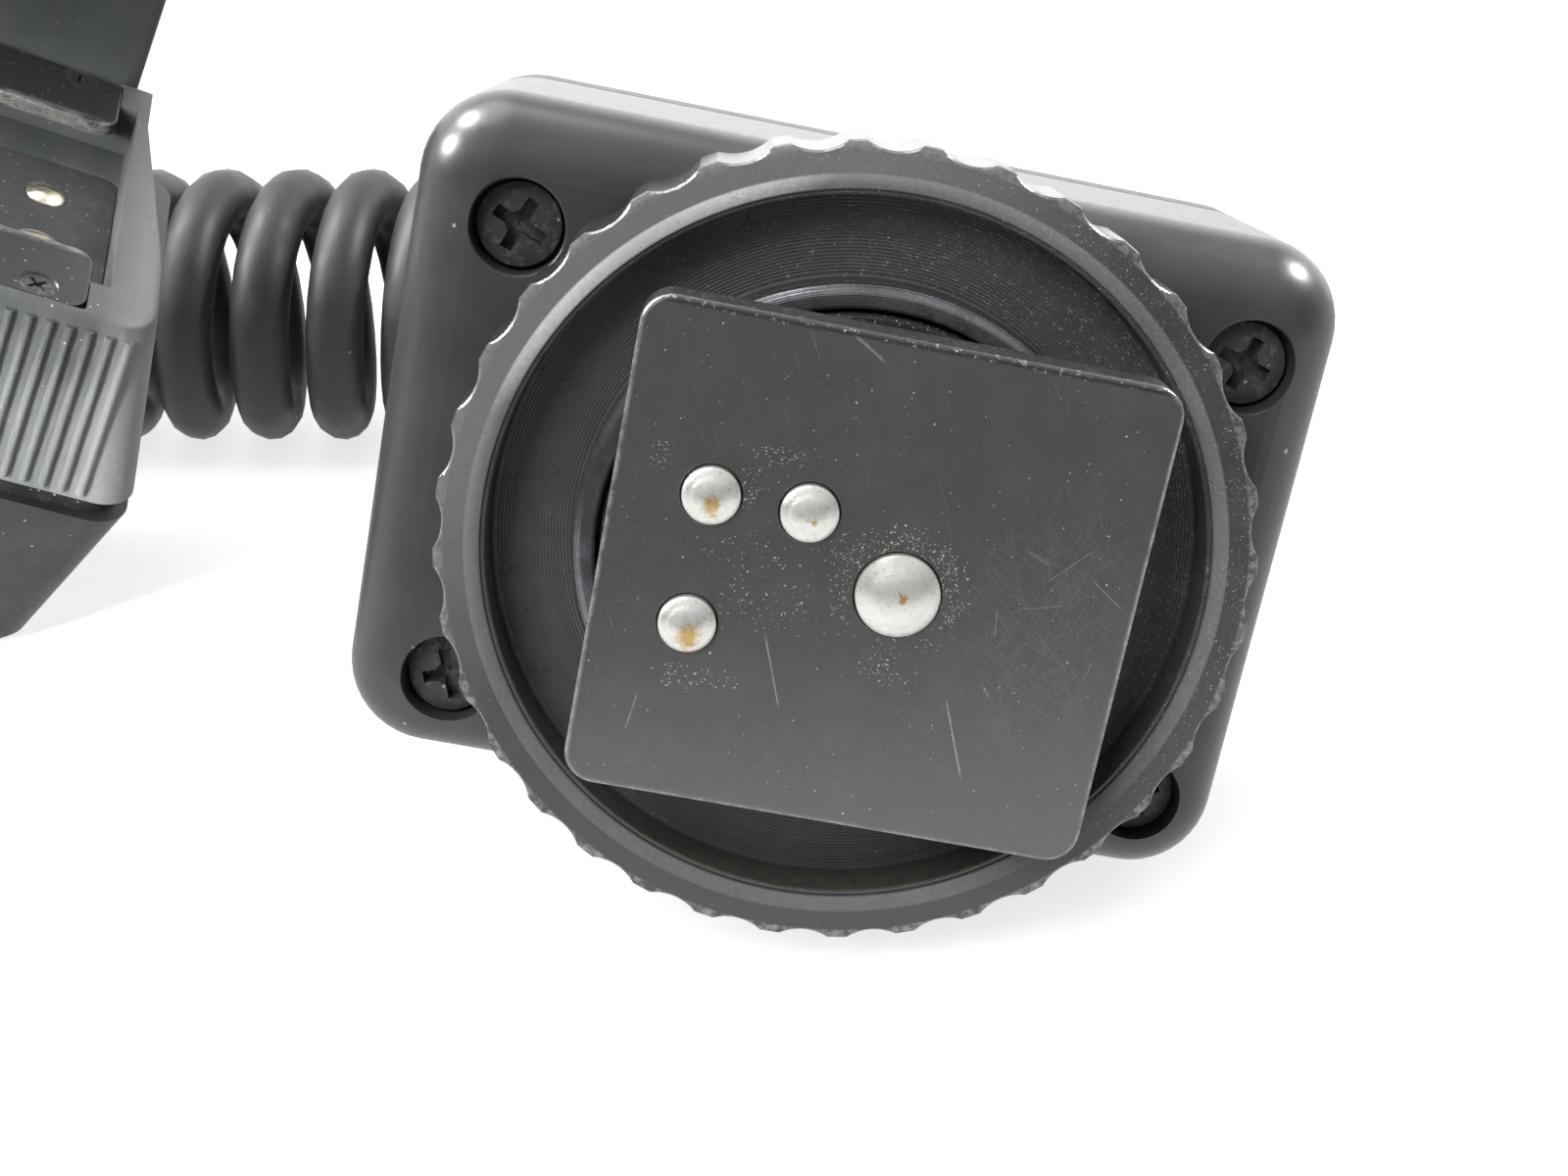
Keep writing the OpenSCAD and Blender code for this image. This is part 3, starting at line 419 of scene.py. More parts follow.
def skinned(shape, loops, ring=False):
    """Faces from loop to loop, with the two ends closed, or joined where they make a ring."""
    rows = [[shape.verts.new(p) for p in loop] for loop in loops]
    count = len(rows[0])
    for a, b in zip(rows, rows[1:] + (rows[:1] if ring else [])):
        for k in range(count):
            shape.faces.new((a[k], a[(k + 1) % count], b[(k + 1) % count], b[k]))
    if not ring:
        shape.faces.new(rows[0])
        shape.faces.new(rows[-1])


def turned(shape, profile, steps=96, at=(0, 0)):
    """A lathe-turned form of (radius, height) points, a ring where neither end is on the axis."""
    rows = []
    for r, z in profile:
        spots = [(at[0] + r * math.cos(2 * math.pi * k / steps), at[1] + r * math.sin(2 * math.pi * k / steps), z)
                 for k in range(steps if r > 0 else 1)]
        rows.append([shape.verts.new(p) for p in spots])
    ring = len(rows[0]) > 1 and len(rows[-1]) > 1
    for a, b in zip(rows, rows[1:] + (rows[:1] if ring else [])):
        for k in range(steps):
            j = (k + 1) % steps
            spots = dict.fromkeys((a[k % len(a)], a[j % len(a)], b[j % len(b)], b[k % len(b)]))
            if len(spots) > 2:
                shape.faces.new(list(spots))


def rod(shape, r, low, high, steps, at):
    """A plain round bar of that radius, upright at a point."""
    turned(shape, [(0, low), (r, low), (r, high), (0, high)], steps, at)


def cast(name, shape):
    """Makes a form in millimetres an object."""
    bmesh.ops.remove_doubles(shape, verts=shape.verts, dist=1e-5)
    bmesh.ops.recalc_face_normals(shape, faces=shape.faces)
    thing = bpy.data.objects.new(name, bpy.data.meshes.new(name))
    shape.to_mesh(thing.data)
    shape.free()
    bpy.context.scene.collection.objects.link(thing)
    return thing


def settle(thing):
    """Makes what a piece's modifiers give its own mesh."""
    now = bpy.context.evaluated_depsgraph_get()
    mesh = bpy.data.meshes.new_from_object(thing.evaluated_get(now), depsgraph=now)
    thing.modifiers.clear()
    thing.data = mesh
    return thing


def worked(thing, tool, how="DIFFERENCE"):
    """Cuts a tool's form out of a piece, or welds it on."""
    cut = thing.modifiers.new(tool.name, "BOOLEAN")
    cut.operation = how
    cut.object = tool
    cut.solver = "EXACT"
    settle(thing)
    bpy.data.objects.remove(tool)
    return thing


def laid(thing, place, finish, body, slot, *replaced, sharp=32):
    """Lays a finished piece in the frame, with its finish, its body and the solids it stands for."""
    thing.data.shade_smooth()
    thing.data.set_sharp_from_angle(angle=math.radians(sharp))
    even = thing.modifiers.new("even", "WEIGHTED_NORMAL")
    even.keep_sharp = True
    settle(thing)
    thing.data.transform(place)
    thing.data.materials.clear()
    thing.data.materials.append(finish.material)
    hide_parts(*replaced)
    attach(thing, body)
    return thing


def fillet(l, w, r, z, edge, way, mid, steps=10):
    """Loops that round off an edge, from a wall's foot to its top."""
    out = []
    for k in range(steps + 1):
        a = math.radians(90 * k / steps)
        inset = edge * (1 - math.cos(a))
        out.append(rounded(l - 2 * inset, w - 2 * inset, max(r - inset, 0.3),
                           z - way * edge * (1 - math.sin(a)), mid))
    return out


shape = bmesh.new()
body_edge = 3.0
skinned(shape, [rounded(body[0] - 2 * wall, body[1] - 2 * wall, 1.5, inside_z, body_mid),
                rounded(body[0] - 2 * wall, body[1] - 2 * wall, 1.5, shell_z, body_mid),
                rounded(body[0] - 0.3, body[1] - 0.3, body_r - 0.15, shell_z, body_mid),
                rounded(body[0], body[1], body_r, shell_z + 0.15, body_mid)]
        + fillet(*body, body_r, face_z, body_edge, 1, body_mid)
        + [rounded(body[0] - 2 * body_edge - 0.6, body[1] - 2 * body_edge - 0.6, 0.3, face_z, body_mid)])
plug_shell = cast("plug_shell", shape)
shape = bmesh.new()
for x, y in corners:
    rod(shape, pocket_r + 0.75, shell_z, inside_z + 0.5, 40, (x * screw_at[0], y * screw_at[1]))
worked(plug_shell, cast("screw_pillars", shape), "UNION")
shape = bmesh.new()
turned(shape, [(0, inside_z - 1), (post_r + 0.05, inside_z - 1), (post_r + 0.05, face_z - 0.2),
               (post_r + 0.45, face_z + 0.2), (post_r + 0.45, face_z + 1), (0, face_z + 1)], 128)
for x, y in corners:
    turned(shape, [(0, shell_z - 1), (shank_r + 0.05, shell_z - 1), (shank_r + 0.05, inside_z), (pocket_r, inside_z),
                   (pocket_r, face_z - 0.12), (pocket_r + 0.05, face_z - 0.04), (pocket_r + 0.15, face_z + 0.02),
                   (pocket_r + 0.15, face_z + 1), (0, face_z + 1)], 64, (x * screw_at[0], y * screw_at[1]))
worked(plug_shell, cast("shell_bores", shape))

satin_black = Finish("satin_black", (0.047, 0.050, 0.050), 0.29, Specular_IOR_Level=0.55)
where = satin_black.own(plug_place)
cloud = satin_black.noise(where, 0.35, 4)
satin_black.tint(satin_black.ramp(cloud, 0.4, 0.75), (0.058, 0.062, 0.062))
satin_black.shine("Roughness", satin_black.patches(where, 2.5, 5, 0.35, 0.75, rough=0.65), 0.37)
satin_black.dust(where, 0.9, 0.12, 0.1, (0.33, 0.32, 0.30))
satin_black.bump(satin_black.noise(where, 14, 3), 0.006, 0.5)
laid(plug_shell, plug_place, satin_black, "cord_and_ends", "body_black", "plug_housing")


# ---------------------------------------------------------------------------
# Plug, back cover: the same plastic, a shallow lid with the cord's outlet and
# two pillars that hold the board up. The body screws bite into its corners.
shape = bmesh.new()
cover_edge = 1.5
skinned(shape, [rounded(body[0] - 1, body[1] - 1, body_r - 0.5, shell_z - 0.02, body_mid),
                rounded(body[0] - 0.3, body[1] - 0.3, body_r - 0.15, shell_z - 0.02, body_mid),
                rounded(body[0], body[1], body_r, shell_z - 0.17, body_mid)]
        + fillet(*body, body_r, plug_back, cover_edge, -1, body_mid)
        + [rounded(body[0] - 2 * cover_edge - 0.6, body[1] - 2 * cover_edge - 0.6, 1.7, plug_back, body_mid)])
plug_lid = cast("plug_lid", shape)
board_back = -12.04
pillar_r = 1.8
outlet_r = 2.92
shape = bmesh.new()
for x in (-9, 9):
    rod(shape, pillar_r, shell_z - 0.6, board_back, 40, (x, 5))
worked(plug_lid, cast("board_pillars", shape), "UNION")
shape = bmesh.new()
for x, y in corners:
    rod(shape, shank_r + 0.02, shell_z - 2.1, shell_z + 1, 32, (x * screw_at[0], y * screw_at[1]))
rod(shape, outlet_r, plug_back - 1, shell_z + 1, 64, boot_at)
worked(plug_lid, cast("lid_bores", shape))

lid_black = Finish("lid_black", (0.040, 0.042, 0.043), 0.42, Specular_IOR_Level=0.5)
where = lid_black.own(plug_place)
lid_black.tint(lid_black.patches(where, 0.3, 4, 0.4, 0.75), (0.052, 0.055, 0.056))
lid_black.shine("Roughness", lid_black.patches(where, 2.0, 5, 0.35, 0.75, rough=0.65), 0.52)
lid_black.dust(where, 0.9, 0.12, 0.12, (0.30, 0.29, 0.27))
lid_black.bump(lid_black.noise(where, 9, 4), 0.02, 0.6)
laid(plug_lid, plug_place, lid_black, "cord_and_ends", "cover_black", "plug_cover")


# ---------------------------------------------------------------------------
# Plug, body screws: four blackened cheese-head screws with a cross recess, deep
# in their pockets. Each was driven home to its own angle.
class Recipe(Sums):
    """A Geometry Nodes tree, written node by node, with named sizes."""

    def __init__(self, name, **sizes):
        self.group = bpy.data.node_groups.new(name, "GeometryNodeTree")
        sockets = self.group.interface
        sockets.new_socket("Geometry", in_out="OUTPUT", socket_type="NodeSocketGeometry")
        kinds = {float: "NodeSocketFloat", int: "NodeSocketInt", str: "NodeSocketGeometry"}
        for label, value in sizes.items():
            kind = kinds[type(value)]
            socket = sockets.new_socket(label.replace("_", " "), in_out="INPUT", socket_type=kind)
            if type(value) is not str:
                socket.default_value = value
        sockets.new_socket("Finish", in_out="INPUT", socket_type="NodeSocketMaterial")
        self.given = self.group.nodes.new("NodeGroupInput").outputs
        self.result = self.group.nodes.new("NodeGroupOutput").inputs

    def add(self, kind, setting=None, **values):
        node = self.group.nodes.new(kind if kind.startswith(("Function", "Shader")) else "GeometryNode" + kind)
        for key, value in (setting or {}).items():
            setattr(node, key, value)
        for key, value in values.items():
            socket = node.inputs[int(key[1:]) if key[1:].isdigit() else key.replace("_", " ")]
            if isinstance(value, bpy.types.NodeSocket):
                self.group.links.new(value, socket)
            else:
                socket.default_value = value
        return node

    def sum(self, how, a, b=0.0):
        return self.add("ShaderNodeMath", {"operation": how}, i0=a, i1=b).outputs[0]

    def point(self, x=0.0, y=0.0, z=0.0):
        return self.add("ShaderNodeCombineXYZ", X=x, Y=y, Z=z).outputs[0]

    def moved(self, geometry, to, turn=(0, 0, 0)):
        return self.add("Transform", Geometry=geometry, Translation=to, Rotation=turn).outputs[0]

    def joined(self, *parts):
        node = self.add("JoinGeometry")
        for part in parts:
            self.group.links.new(part, node.inputs[0])
        return node.outputs[0]

    def cut(self, geometry, tool):
        return self.add("MeshBoolean", {"operation": "DIFFERENCE", "solver": "EXACT"},
                        Mesh_1=geometry, Mesh_2=tool, Self_Intersection=True).outputs[0]

    def done(self, geometry):
        solid = self.add("RealizeInstances", Geometry=geometry).outputs[0]
        solid = self.add("SetMaterial", Geometry=solid, Material=self.given["Finish"]).outputs[0]
        self.group.links.new(solid, self.result[0])

    def made(self, name, start=None, **sizes):
        """Runs the tree with these sizes, and keeps what comes out as a plain mesh."""
        thing = start or bpy.data.objects.new(name, bpy.data.meshes.new(name))
        if start is None:
            bpy.context.scene.collection.objects.link(thing)
        run = thing.modifiers.new(name, "NODES")
        run.node_group = self.group
        sizes = {label.replace("_", " "): value for label, value in sizes.items()}
        for socket in self.group.interface.items_tree:
            if socket.in_out == "INPUT" and socket.name in sizes:
                run[socket.identifier] = sizes[socket.name]
        return settle(thing)


cross_screws = Recipe("cross_screws", Head_Radius=1.65, Head_Height=1.1, Crown=0.14, Shank_Radius=0.95,
                      Shank_Length=13.0, Slot_Span=2.2, Slot_Width=0.5, Slot_Depth=0.66, Apart_X=0.0, Apart_Y=0.0,
                      Rows_X=2, Rows_Y=2, First_Turn=0.0, Each_Turn=0.9)
g = cross_screws
of_size = g.given
head = g.add("MeshCylinder", {"fill_type": "TRIANGLE_FAN"}, Vertices=64, Side_Segments=3, Fill_Segments=6,
             Radius=of_size["Head Radius"], Depth=of_size["Head Height"]).outputs[0]
head = g.moved(head, g.point(z=g.times(of_size["Head Height"], 0.5)))
spot = g.add("InputPosition").outputs[0]
x, y, z = g.add("ShaderNodeSeparateXYZ", Vector=spot).outputs
out = g.sum("DIVIDE", g.across(x, y), of_size["Head Radius"])
sunk = g.times(g.sum("POWER", out, 4.0), g.times(of_size["Crown"], -1.0))
top = g.add("FunctionNodeCompare", {"operation": "GREATER_THAN"}, i0=z,
            i1=g.times(of_size["Head Height"], 0.6)).outputs[0]
head = g.add("SetPosition", Geometry=head, Selection=top, Offset=g.point(z=sunk)).outputs[0]
arm = g.add("MeshCube", Size=g.point(of_size["Slot Span"], of_size["Slot Width"],
                                     g.times(of_size["Slot Depth"], 2.0))).outputs[0]
deep = g.times(of_size["Slot Depth"], 1.2)
heart = g.add("MeshCone", Vertices=24, Radius_Top=g.times(of_size["Slot Width"], 1.15),
              Radius_Bottom=0.05, Depth=deep).outputs[0]
cross = g.joined(arm, g.moved(arm, (0, 0, 0), (0, 0, math.pi / 2)),
                 g.moved(heart, g.point(z=g.times(deep, -0.95))))
head = g.cut(head, g.moved(cross, g.point(z=of_size["Head Height"])))
shank = g.add("MeshCylinder", Vertices=32, Side_Segments=1, Fill_Segments=1, Radius=of_size["Shank Radius"],
              Depth=of_size["Shank Length"]).outputs[0]
shank = g.moved(shank, g.point(z=g.times(of_size["Shank Length"], -0.5)))
places = g.add("MeshGrid", Size_X=of_size["Apart X"], Size_Y=of_size["Apart Y"],
               Vertices_X=of_size["Rows X"], Vertices_Y=of_size["Rows Y"]).outputs[0]
angle = g.plus(of_size["First Turn"], g.times(g.add("InputIndex").outputs[0], of_size["Each Turn"]))
g.done(g.add("InstanceOnPoints", Points=places, Instance=g.joined(head, shank),
             Rotation=g.point(z=angle)).outputs[0])

screw_black = Finish("screw_black", (0.040, 0.041, 0.041), 0.36, Specular_IOR_Level=0.6)
where = screw_black.own(plug_place)
screw_black.tint(screw_black.patches(where, 3.0, 6, 0.52, 0.72, rough=0.7), (0.12, 0.12, 0.115))
screw_black.shine("Roughness", screw_black.patches(where, 6.0, 4, 0.4, 0.7), 0.55)
screw_black.dust(where, 0.4, 0.09, 0.2, (0.30, 0.28, 0.25))
screw_black.bump(screw_black.noise(where, 5.0, 5, 0.65), 0.05)
body_screws = cross_screws.made("body_screws", Apart_X=2 * screw_at[0], Apart_Y=2 * screw_at[1],
                                First_Turn=0.35, Each_Turn=0.83, Finish=screw_black.material)
body_screws.data.transform(Matrix.Translation((0, 0, inside_z)))
laid(body_screws, plug_place, screw_black, "cord_and_ends", "screw_black", "plug_screws")


# ---------------------------------------------------------------------------
# Plug, threaded post: black anodised aluminium, turned with a fine thread for
# the ring, on a flange that four small screws pull against the front wall.
flange_z = -8.7
post_top = -0.5
thread_pitch = 0.8
thread_depth = 0.3
carrier_r = 8.35
carrier_half = 4.75
carrier_end = 4.35
disc_r = 11
flange_l, flange_w = 25.2, 15
post_screw_at = (11.3, 6.0)
post_hole_r = 0.65
foot_screw_at = (6.6, 2.8)
foot_hole_r = 0.8


def carrier_loop(z, bend=24):
    """The outline of the pin carrier's slot: a disc with two flats, cut short at the trailing end."""
    half = math.asin(carrier_half / carrier_r)
    arc = [math.pi - half + 2 * half * k / bend for k in range(bend + 1)]
    return ([(carrier_end, -carrier_half, z), (carrier_end, carrier_half, z)]
            + [(carrier_r * math.cos(a), carrier_r * math.sin(a), z) for a in arc])


shape = bmesh.new()
around = 128
levels = [flange_z + 0.1 * k for k in range(int((post_top - flange_z) / 0.1 + 0.5) + 1)]
rows = []
for z in levels:
    fade = min(max((z + 4.9) / 0.4, 0), 1) * min(max((post_top - z) / 0.25, 0.35), 1)
    row = []
    for k in range(around):
        turn = k / around
        crest = abs(2 * ((z / thread_pitch + turn) % 1) - 1)
        r = post_r - thread_depth * crest * fade - 0.25 * max(0, 1 - (post_top - z) / 0.2)
        row.append((r * math.cos(2 * math.pi * turn), r * math.sin(2 * math.pi * turn), z))
    rows.append(row)
skinned(shape, rows)
post = cast("threaded_post_turned", shape)
shape = bmesh.new()
turned(shape, [(0, flange_z), (disc_r - 0.1, flange_z), (disc_r, flange_z + 0.1), (disc_r, inside_z - 0.03),
               (0, inside_z - 0.03)], 96)
worked(post, cast("post_disc", shape), "UNION")
shape = bmesh.new()
skinned(shape, [rounded(flange_l, flange_w, 1, z) for z in (flange_z, inside_z - 0.02)])
worked(post, cast("post_flange", shape), "UNION")
shape = bmesh.new()
skinned(shape, [carrier_loop(z) for z in (flange_z - 1, post_top + 1)])
for x, y in corners:
    rod(shape, post_hole_r, flange_z - 1, inside_z + 1, 24, (x * post_screw_at[0], y * post_screw_at[1]))
for y in (-1, 1):
    rod(shape, foot_hole_r, flange_z - 1, post_top + 1, 24, (foot_screw_at[0], y * foot_screw_at[1]))
worked(post, cast("post_bores", shape))

post_black = Finish("post_black", (0.030, 0.031, 0.031), 0.32, Specular_IOR_Level=0.7)
where = post_black.own(plug_place)
post_black.tint(post_black.patches(where, 2.2, 5, 0.55, 0.75, rough=0.7), (0.060, 0.055, 0.046))
post_black.dust(where, 0.09, 0.036, 0.4, (0.40, 0.37, 0.31))
post_black.shine("Roughness", post_black.patches(where, 5, 4, 0.4, 0.7), 0.5)
post_black.bump(post_black.noise(where, 22, 2), 0.008, 0.5)
laid(post, plug_place, post_black, "cord_and_ends", "post_black", "threaded_post", sharp=40)


# ---------------------------------------------------------------------------
# Plug, post and foot screws: plain steel, heads towards the back, four that
# pull the post's flange to the wall and two that run up into the foot.
def upside_down(z):
    return Matrix.Translation((0, 0, z)) @ Matrix.Rotation(math.pi, 4, "X")


plain_steel = Finish("plain_steel", (0.44, 0.44, 0.45), 0.34, 1.0)
where = plain_steel.own(plug_place)
plain_steel.tint(plain_steel.patches(where, 2.5, 5, 0.42, 0.72, rough=0.65), (0.27, 0.265, 0.26))
plain_steel.shine("Roughness", plain_steel.patches(where, 7, 4, 0.35, 0.7), 0.5)
plain_steel.bump(plain_steel.noise(where, 16, 3), 0.01, 0.6)
post_screws = cross_screws.made("flange_screws", Head_Radius=1.1, Head_Height=0.8, Crown=0.1, Shank_Radius=0.6,
                                Shank_Length=2.8, Slot_Span=1.5, Slot_Width=0.3, Slot_Depth=0.42,
                                Apart_X=2 * post_screw_at[0], Apart_Y=2 * post_screw_at[1],
                                Finish=plain_steel.material)
post_screws.data.transform(upside_down(flange_z))
laid(post_screws, plug_place, plain_steel, "cord_and_ends", "steel", "post_screws")
foot_screws = cross_screws.made("foot_bolts", Head_Radius=1.35, Head_Height=0.9, Crown=0.1, Shank_Radius=0.75,
                                Shank_Length=11.0, Slot_Span=1.8, Slot_Width=0.35, Slot_Depth=0.45,
                                Apart_Y=2 * foot_screw_at[1], Rows_X=1, Rows_Y=2, Finish=plain_steel.material)
foot_screws.data.transform(Matrix.Translation((foot_screw_at[0], 0, 0)) @ upside_down(flange_z))
laid(foot_screws, plug_place, plain_steel, "cord_and_ends", "steel", "foot_screws")


# ---------------------------------------------------------------------------
# Plug, foot: a black anodised aluminium plate of hot-shoe size, milled in one
# with its neck. Its bevel is rubbed bright, and its face scratched by shoes.
plate = (19.7, 18.6)
plate_mid = (0.6, 0)
plate_r = 1.2
plate_back = 1.3
plate_face = 3.3
plate_bevel = 0.2
neck = (16.5, 12.3)
neck_r = 9.4
neck_hole_r = 0.77
carrier_top = 2.2
centre_at = (1.7, 0)
signal_at = {"a": (-5.65, 2.45), "b": (-2.05, 2.45), "c": (-5.65, -2.45)}
centre_r = 1.57
signal_r = 1.07


def neck_loop(z, bend=24):
    """The neck's outline: a disc cut by the sides and ends of a rectangle."""
    x, y = neck[0] / 2, neck[1] / 2
    low, high = math.acos(x / neck_r), math.asin(y / neck_r)
    arc = [low + (high - low) * k / bend for k in range(bend + 1)]
    quarter = [(neck_r * math.cos(a), neck_r * math.sin(a)) for a in arc]
    out = quarter + [(-px, py) for px, py in reversed(quarter)] + [(-px, -py) for px, py in quarter]
    return [(px, py, z) for px, py in out + [(px, -py) for px, py in reversed(quarter)]]


shape = bmesh.new()
loops = [rounded(plate[0] - 0.5, plate[1] - 0.5, plate_r - 0.25, plate_back, plate_mid),
         rounded(plate[0] - 0.16, plate[1] - 0.16, plate_r - 0.08, plate_back, plate_mid),
         rounded(*plate, plate_r, plate_back + 0.08, plate_mid)]
for k in range(7):
    a = math.radians(15 * k)
    inset = plate_bevel * 1.25 * (1 - math.cos(a))
    loops.append(rounded(plate[0] - 2 * inset, plate[1] - 2 * inset, plate_r - inset,
                         plate_face - plate_bevel * (1 - math.sin(a)), plate_mid))
loops.append(rounded(plate[0] - 0.8, plate[1] - 0.8, plate_r - 0.4, plate_face, plate_mid))
skinned(shape, loops)
foot = cast("foot_milled", shape)
shape = bmesh.new()
skinned(shape, [neck_loop(z) for z in (post_top, plate_back + 0.5)])
worked(foot, cast("foot_neck", shape), "UNION")
shape = bmesh.new()
skinned(shape, [carrier_loop(z) for z in (post_top - 1, carrier_top + 0.02)])
for (x, y), r in [(centre_at, centre_r)] + [(p, signal_r) for p in signal_at.values()]:
    turned(shape, [(0, carrier_top - 0.5), (r + 0.06, carrier_top - 0.5), (r + 0.06, plate_face - 0.07),
                   (r + 0.10, plate_face - 0.02), (r + 0.16, plate_face + 0.02), (r + 0.16, plate_face + 1),
                   (0, plate_face + 1)], 72, (x, y))
for y in (-1, 1):
    rod(shape, neck_hole_r, post_top - 1, plate_back + 1.04, 24, (foot_screw_at[0], y * foot_screw_at[1]))
worked(foot, cast("foot_bores", shape))

plate_black = Finish("plate_black", (0.062, 0.064, 0.061), 0.20, Specular_IOR_Level=1.0, IOR=1.58)
where = plate_black.own(plug_place)
x, y, z = plate_black.axes(where)
drawn = plate_black.noise(plate_black.own(plug_place, stretch=(30, 0.6, 1)), 1.0, 4, 0.6)
plate_black.tint(plate_black.ramp(drawn, 0.35, 0.75), (0.072, 0.074, 0.071))
plate_black.shine("Roughness", plate_black.ramp(drawn, 0.3, 0.7), 0.27)
cloud = plate_black.noise(where, 0.42, 6, 0.62)
plate_black.tint(plate_black.ramp(cloud, 0.47, 0.68, 0.0, 0.5), (0.086, 0.087, 0.083))
hairs = plate_black.noise(plate_black.own(plug_place, turn=0.5, stretch=(9, 0.25, 1)), 1.6, 2, 0.4)
plate_black.tint(plate_black.ramp(hairs, 0.70, 0.76, 0.0, 0.5), (0.13, 0.13, 0.13))
far = plate_black.across(plate_black.less(x, 7.6), plate_black.times(y, 0.8))
for turn, length in ((-0.9, 0.5), (0.35, 0.4), (1.2, 0.5), (-0.3, 0.35), (0.8, 0.45)):
    hairs = plate_black.noise(plate_black.own(plug_place, turn=turn, stretch=(22, length, 1)), 1.3, 2, 0.4)
    plate_black.tint(plate_black.times(plate_black.ramp(hairs, 0.63, 0.71, 0.0, 0.7),
                                       plate_black.ramp(far, 5.0, 2.0)), (0.125, 0.130, 0.132))


def scratch(finish, place, start, end, width, colour, strong):
    """A thin straight scratch that shows the metal, a little ragged and fading at its ends."""
    run = Vector(end) - Vector(start)
    along, aside, _ = finish.axes(finish.own(place, turn=math.atan2(run.y, run.x), at=(*start, 0)))
    ragged = finish.ramp(finish.noise(finish.own(place), 6.0, 3), 0.3, 0.7, 0.35, 1.0)
    mask = finish.ramp(finish.sum("ABSOLUTE", aside), finish.times(ragged, width), 0.0)
    half = finish.sum("ABSOLUTE", finish.less(along, run.length / 2))
    mask = finish.times(mask, finish.ramp(half, run.length / 2, run.length * 0.35))
    finish.tint(finish.times(mask, strong), colour)


bare = (0.34, 0.34, 0.34)
scratches = [((-2.81, -2.24), (-1.70, -5.16), 0.055, 0.8), ((-6.95, -5.36), (-7.18, -7.01), 0.05, 0.6),
             ((4.26, -3.51), (5.56, -6.71), 0.06, 0.9), ((5.40, 0.18), (5.54, -0.94), 0.04, 0.5),
             ((8.55, 1.88), (9.9, 0.96), 0.045, 0.6), ((5.85, 2.57), (7.07, 2.05), 0.035, 0.45),
             ((5.53, -2.84), (5.84, -3.25), 0.07, 0.6), ((6.19, 0.29), (7.92, 0.77), 0.035, 0.45),
             ((6.88, 1.41), (8.47, 3.07), 0.035, 0.45), ((-1.87, 9.15), (-0.47, 8.30), 0.10, 0.5)]
for start, end, width, strong in scratches:
    scratch(plate_black, plug_place, start, end, width, bare, strong)

off_x = plate_black.less(plate_black.sum("ABSOLUTE", plate_black.less(x, plate_mid[0])), plate[0] / 2 - plate_r)
off_y = plate_black.less(plate_black.sum("ABSOLUTE", y), plate[1] / 2 - plate_r)
out = plate_black.across(plate_black.sum("MAXIMUM", off_x, 0.0), plate_black.sum("MAXIMUM", off_y, 0.0))
rim = plate_black.times(plate_black.ramp(out, plate_r - 0.20, plate_r - 0.10),
                        plate_black.ramp(z, plate_face - 0.5, plate_face - 0.22))
rubbed = plate_black.patches(where, 1.6, 6, 0.36, 0.66, rough=0.7)
# The plate's top edge is painted near black: painted shade. The chips on it are wear.
shaded_top_edge = plate_black.ramp(y, 8.95, 9.1)
plate_black.tint(shaded_top_edge, (0.022, 0.022, 0.021))
plate_black.shine("Roughness", shaded_top_edge, 0.34)
worn = plate_black.times(plate_black.less(rim, shaded_top_edge), rubbed)
worn = plate_black.sum("MAXIMUM", worn, 0.0)
plate_black.tint(worn, (0.34, 0.34, 0.35))
plate_black.shine("Metallic", worn, 0.6)
plate_black.shine("Roughness", worn, 0.30)
chips = plate_black.times(plate_black.ramp(y, 8.9, 9.15),
                          plate_black.patches(where, 4.5, 5, 0.58, 0.64, rough=0.75))
plate_black.tint(chips, (0.42, 0.42, 0.42))
far = plate_black.across(plate_black.less(x, centre_at[0]), y)
off_hole = plate_black.sum("ABSOLUTE", plate_black.less(far, 2.05))
near = plate_black.times(plate_black.ramp(off_hole, 0.75, 0.1), plate_black.ramp(y, -1.0, 1.2, 0.25, 1.0))
dust_patches = [(-3.3, 4.4, 1.5, 0.6, 0.9), (-5.1, -4.5, 1.9, 0.65, 1.0), (-4.3, 3.1, 0.7, 1.0, 0.7),
                (1.9, -2.9, 1.3, 0.7, 0.8), (-0.6, 1.3, 1.3, 1.0, 0.6), (-3.0, -1.2, 2.4, 1.4, 0.3),
                (-4.0, 0.6, 2.2, 1.0, 0.25), (-7.6, 3.4, 0.6, 0.8, 0.6)]
for across, up, wide, high, most in dust_patches:
    far = plate_black.across(plate_black.sum("DIVIDE", plate_black.less(x, across), wide),
                             plate_black.sum("DIVIDE", plate_black.less(y, up), high))
    near = plate_black.sum("MAXIMUM", near, plate_black.ramp(far, 1.0, 0.3, 0.0, most))
dusty = plate_black.times(near, plate_black.patches(where, 1.1, 5, 0.40, 0.58, 0.3, 1.0, rough=0.65))
for apart, size, share in ((0.058, 0.027, 0.75), (0.12, 0.040, 0.40), (0.42, 0.052, 0.5)):
    plate_black.tint(plate_black.grains(where, apart, size, plate_black.ramp(dusty, 0, 1, 0.006, share)),
                     (0.50, 0.47, 0.41))
plate_black.bump(drawn, 0.006, 0.5)
laid(foot, plug_place, plate_black, "cord_and_ends", "plate_black", "foot_plate", sharp=38)


# ---------------------------------------------------------------------------
# Lock ring: black anodised aluminium, turned with a dished face and a hub, then
# scalloped round its rim for the thumb. Its inner lip is rubbed to the metal.
# Towards the top left its face and lip carry a painted highlight, and its
# outer wall is painted darker as shade.
ring_r = 15.7
ring_back = -4.6
dish_r = 13.75
dish_z = -2.45
hub_r = 10.5
hub_top = -1.05
lip_r = 14.45
lip_z = -0.35
scallop_depth = 0.33
scallop_r = 2.0

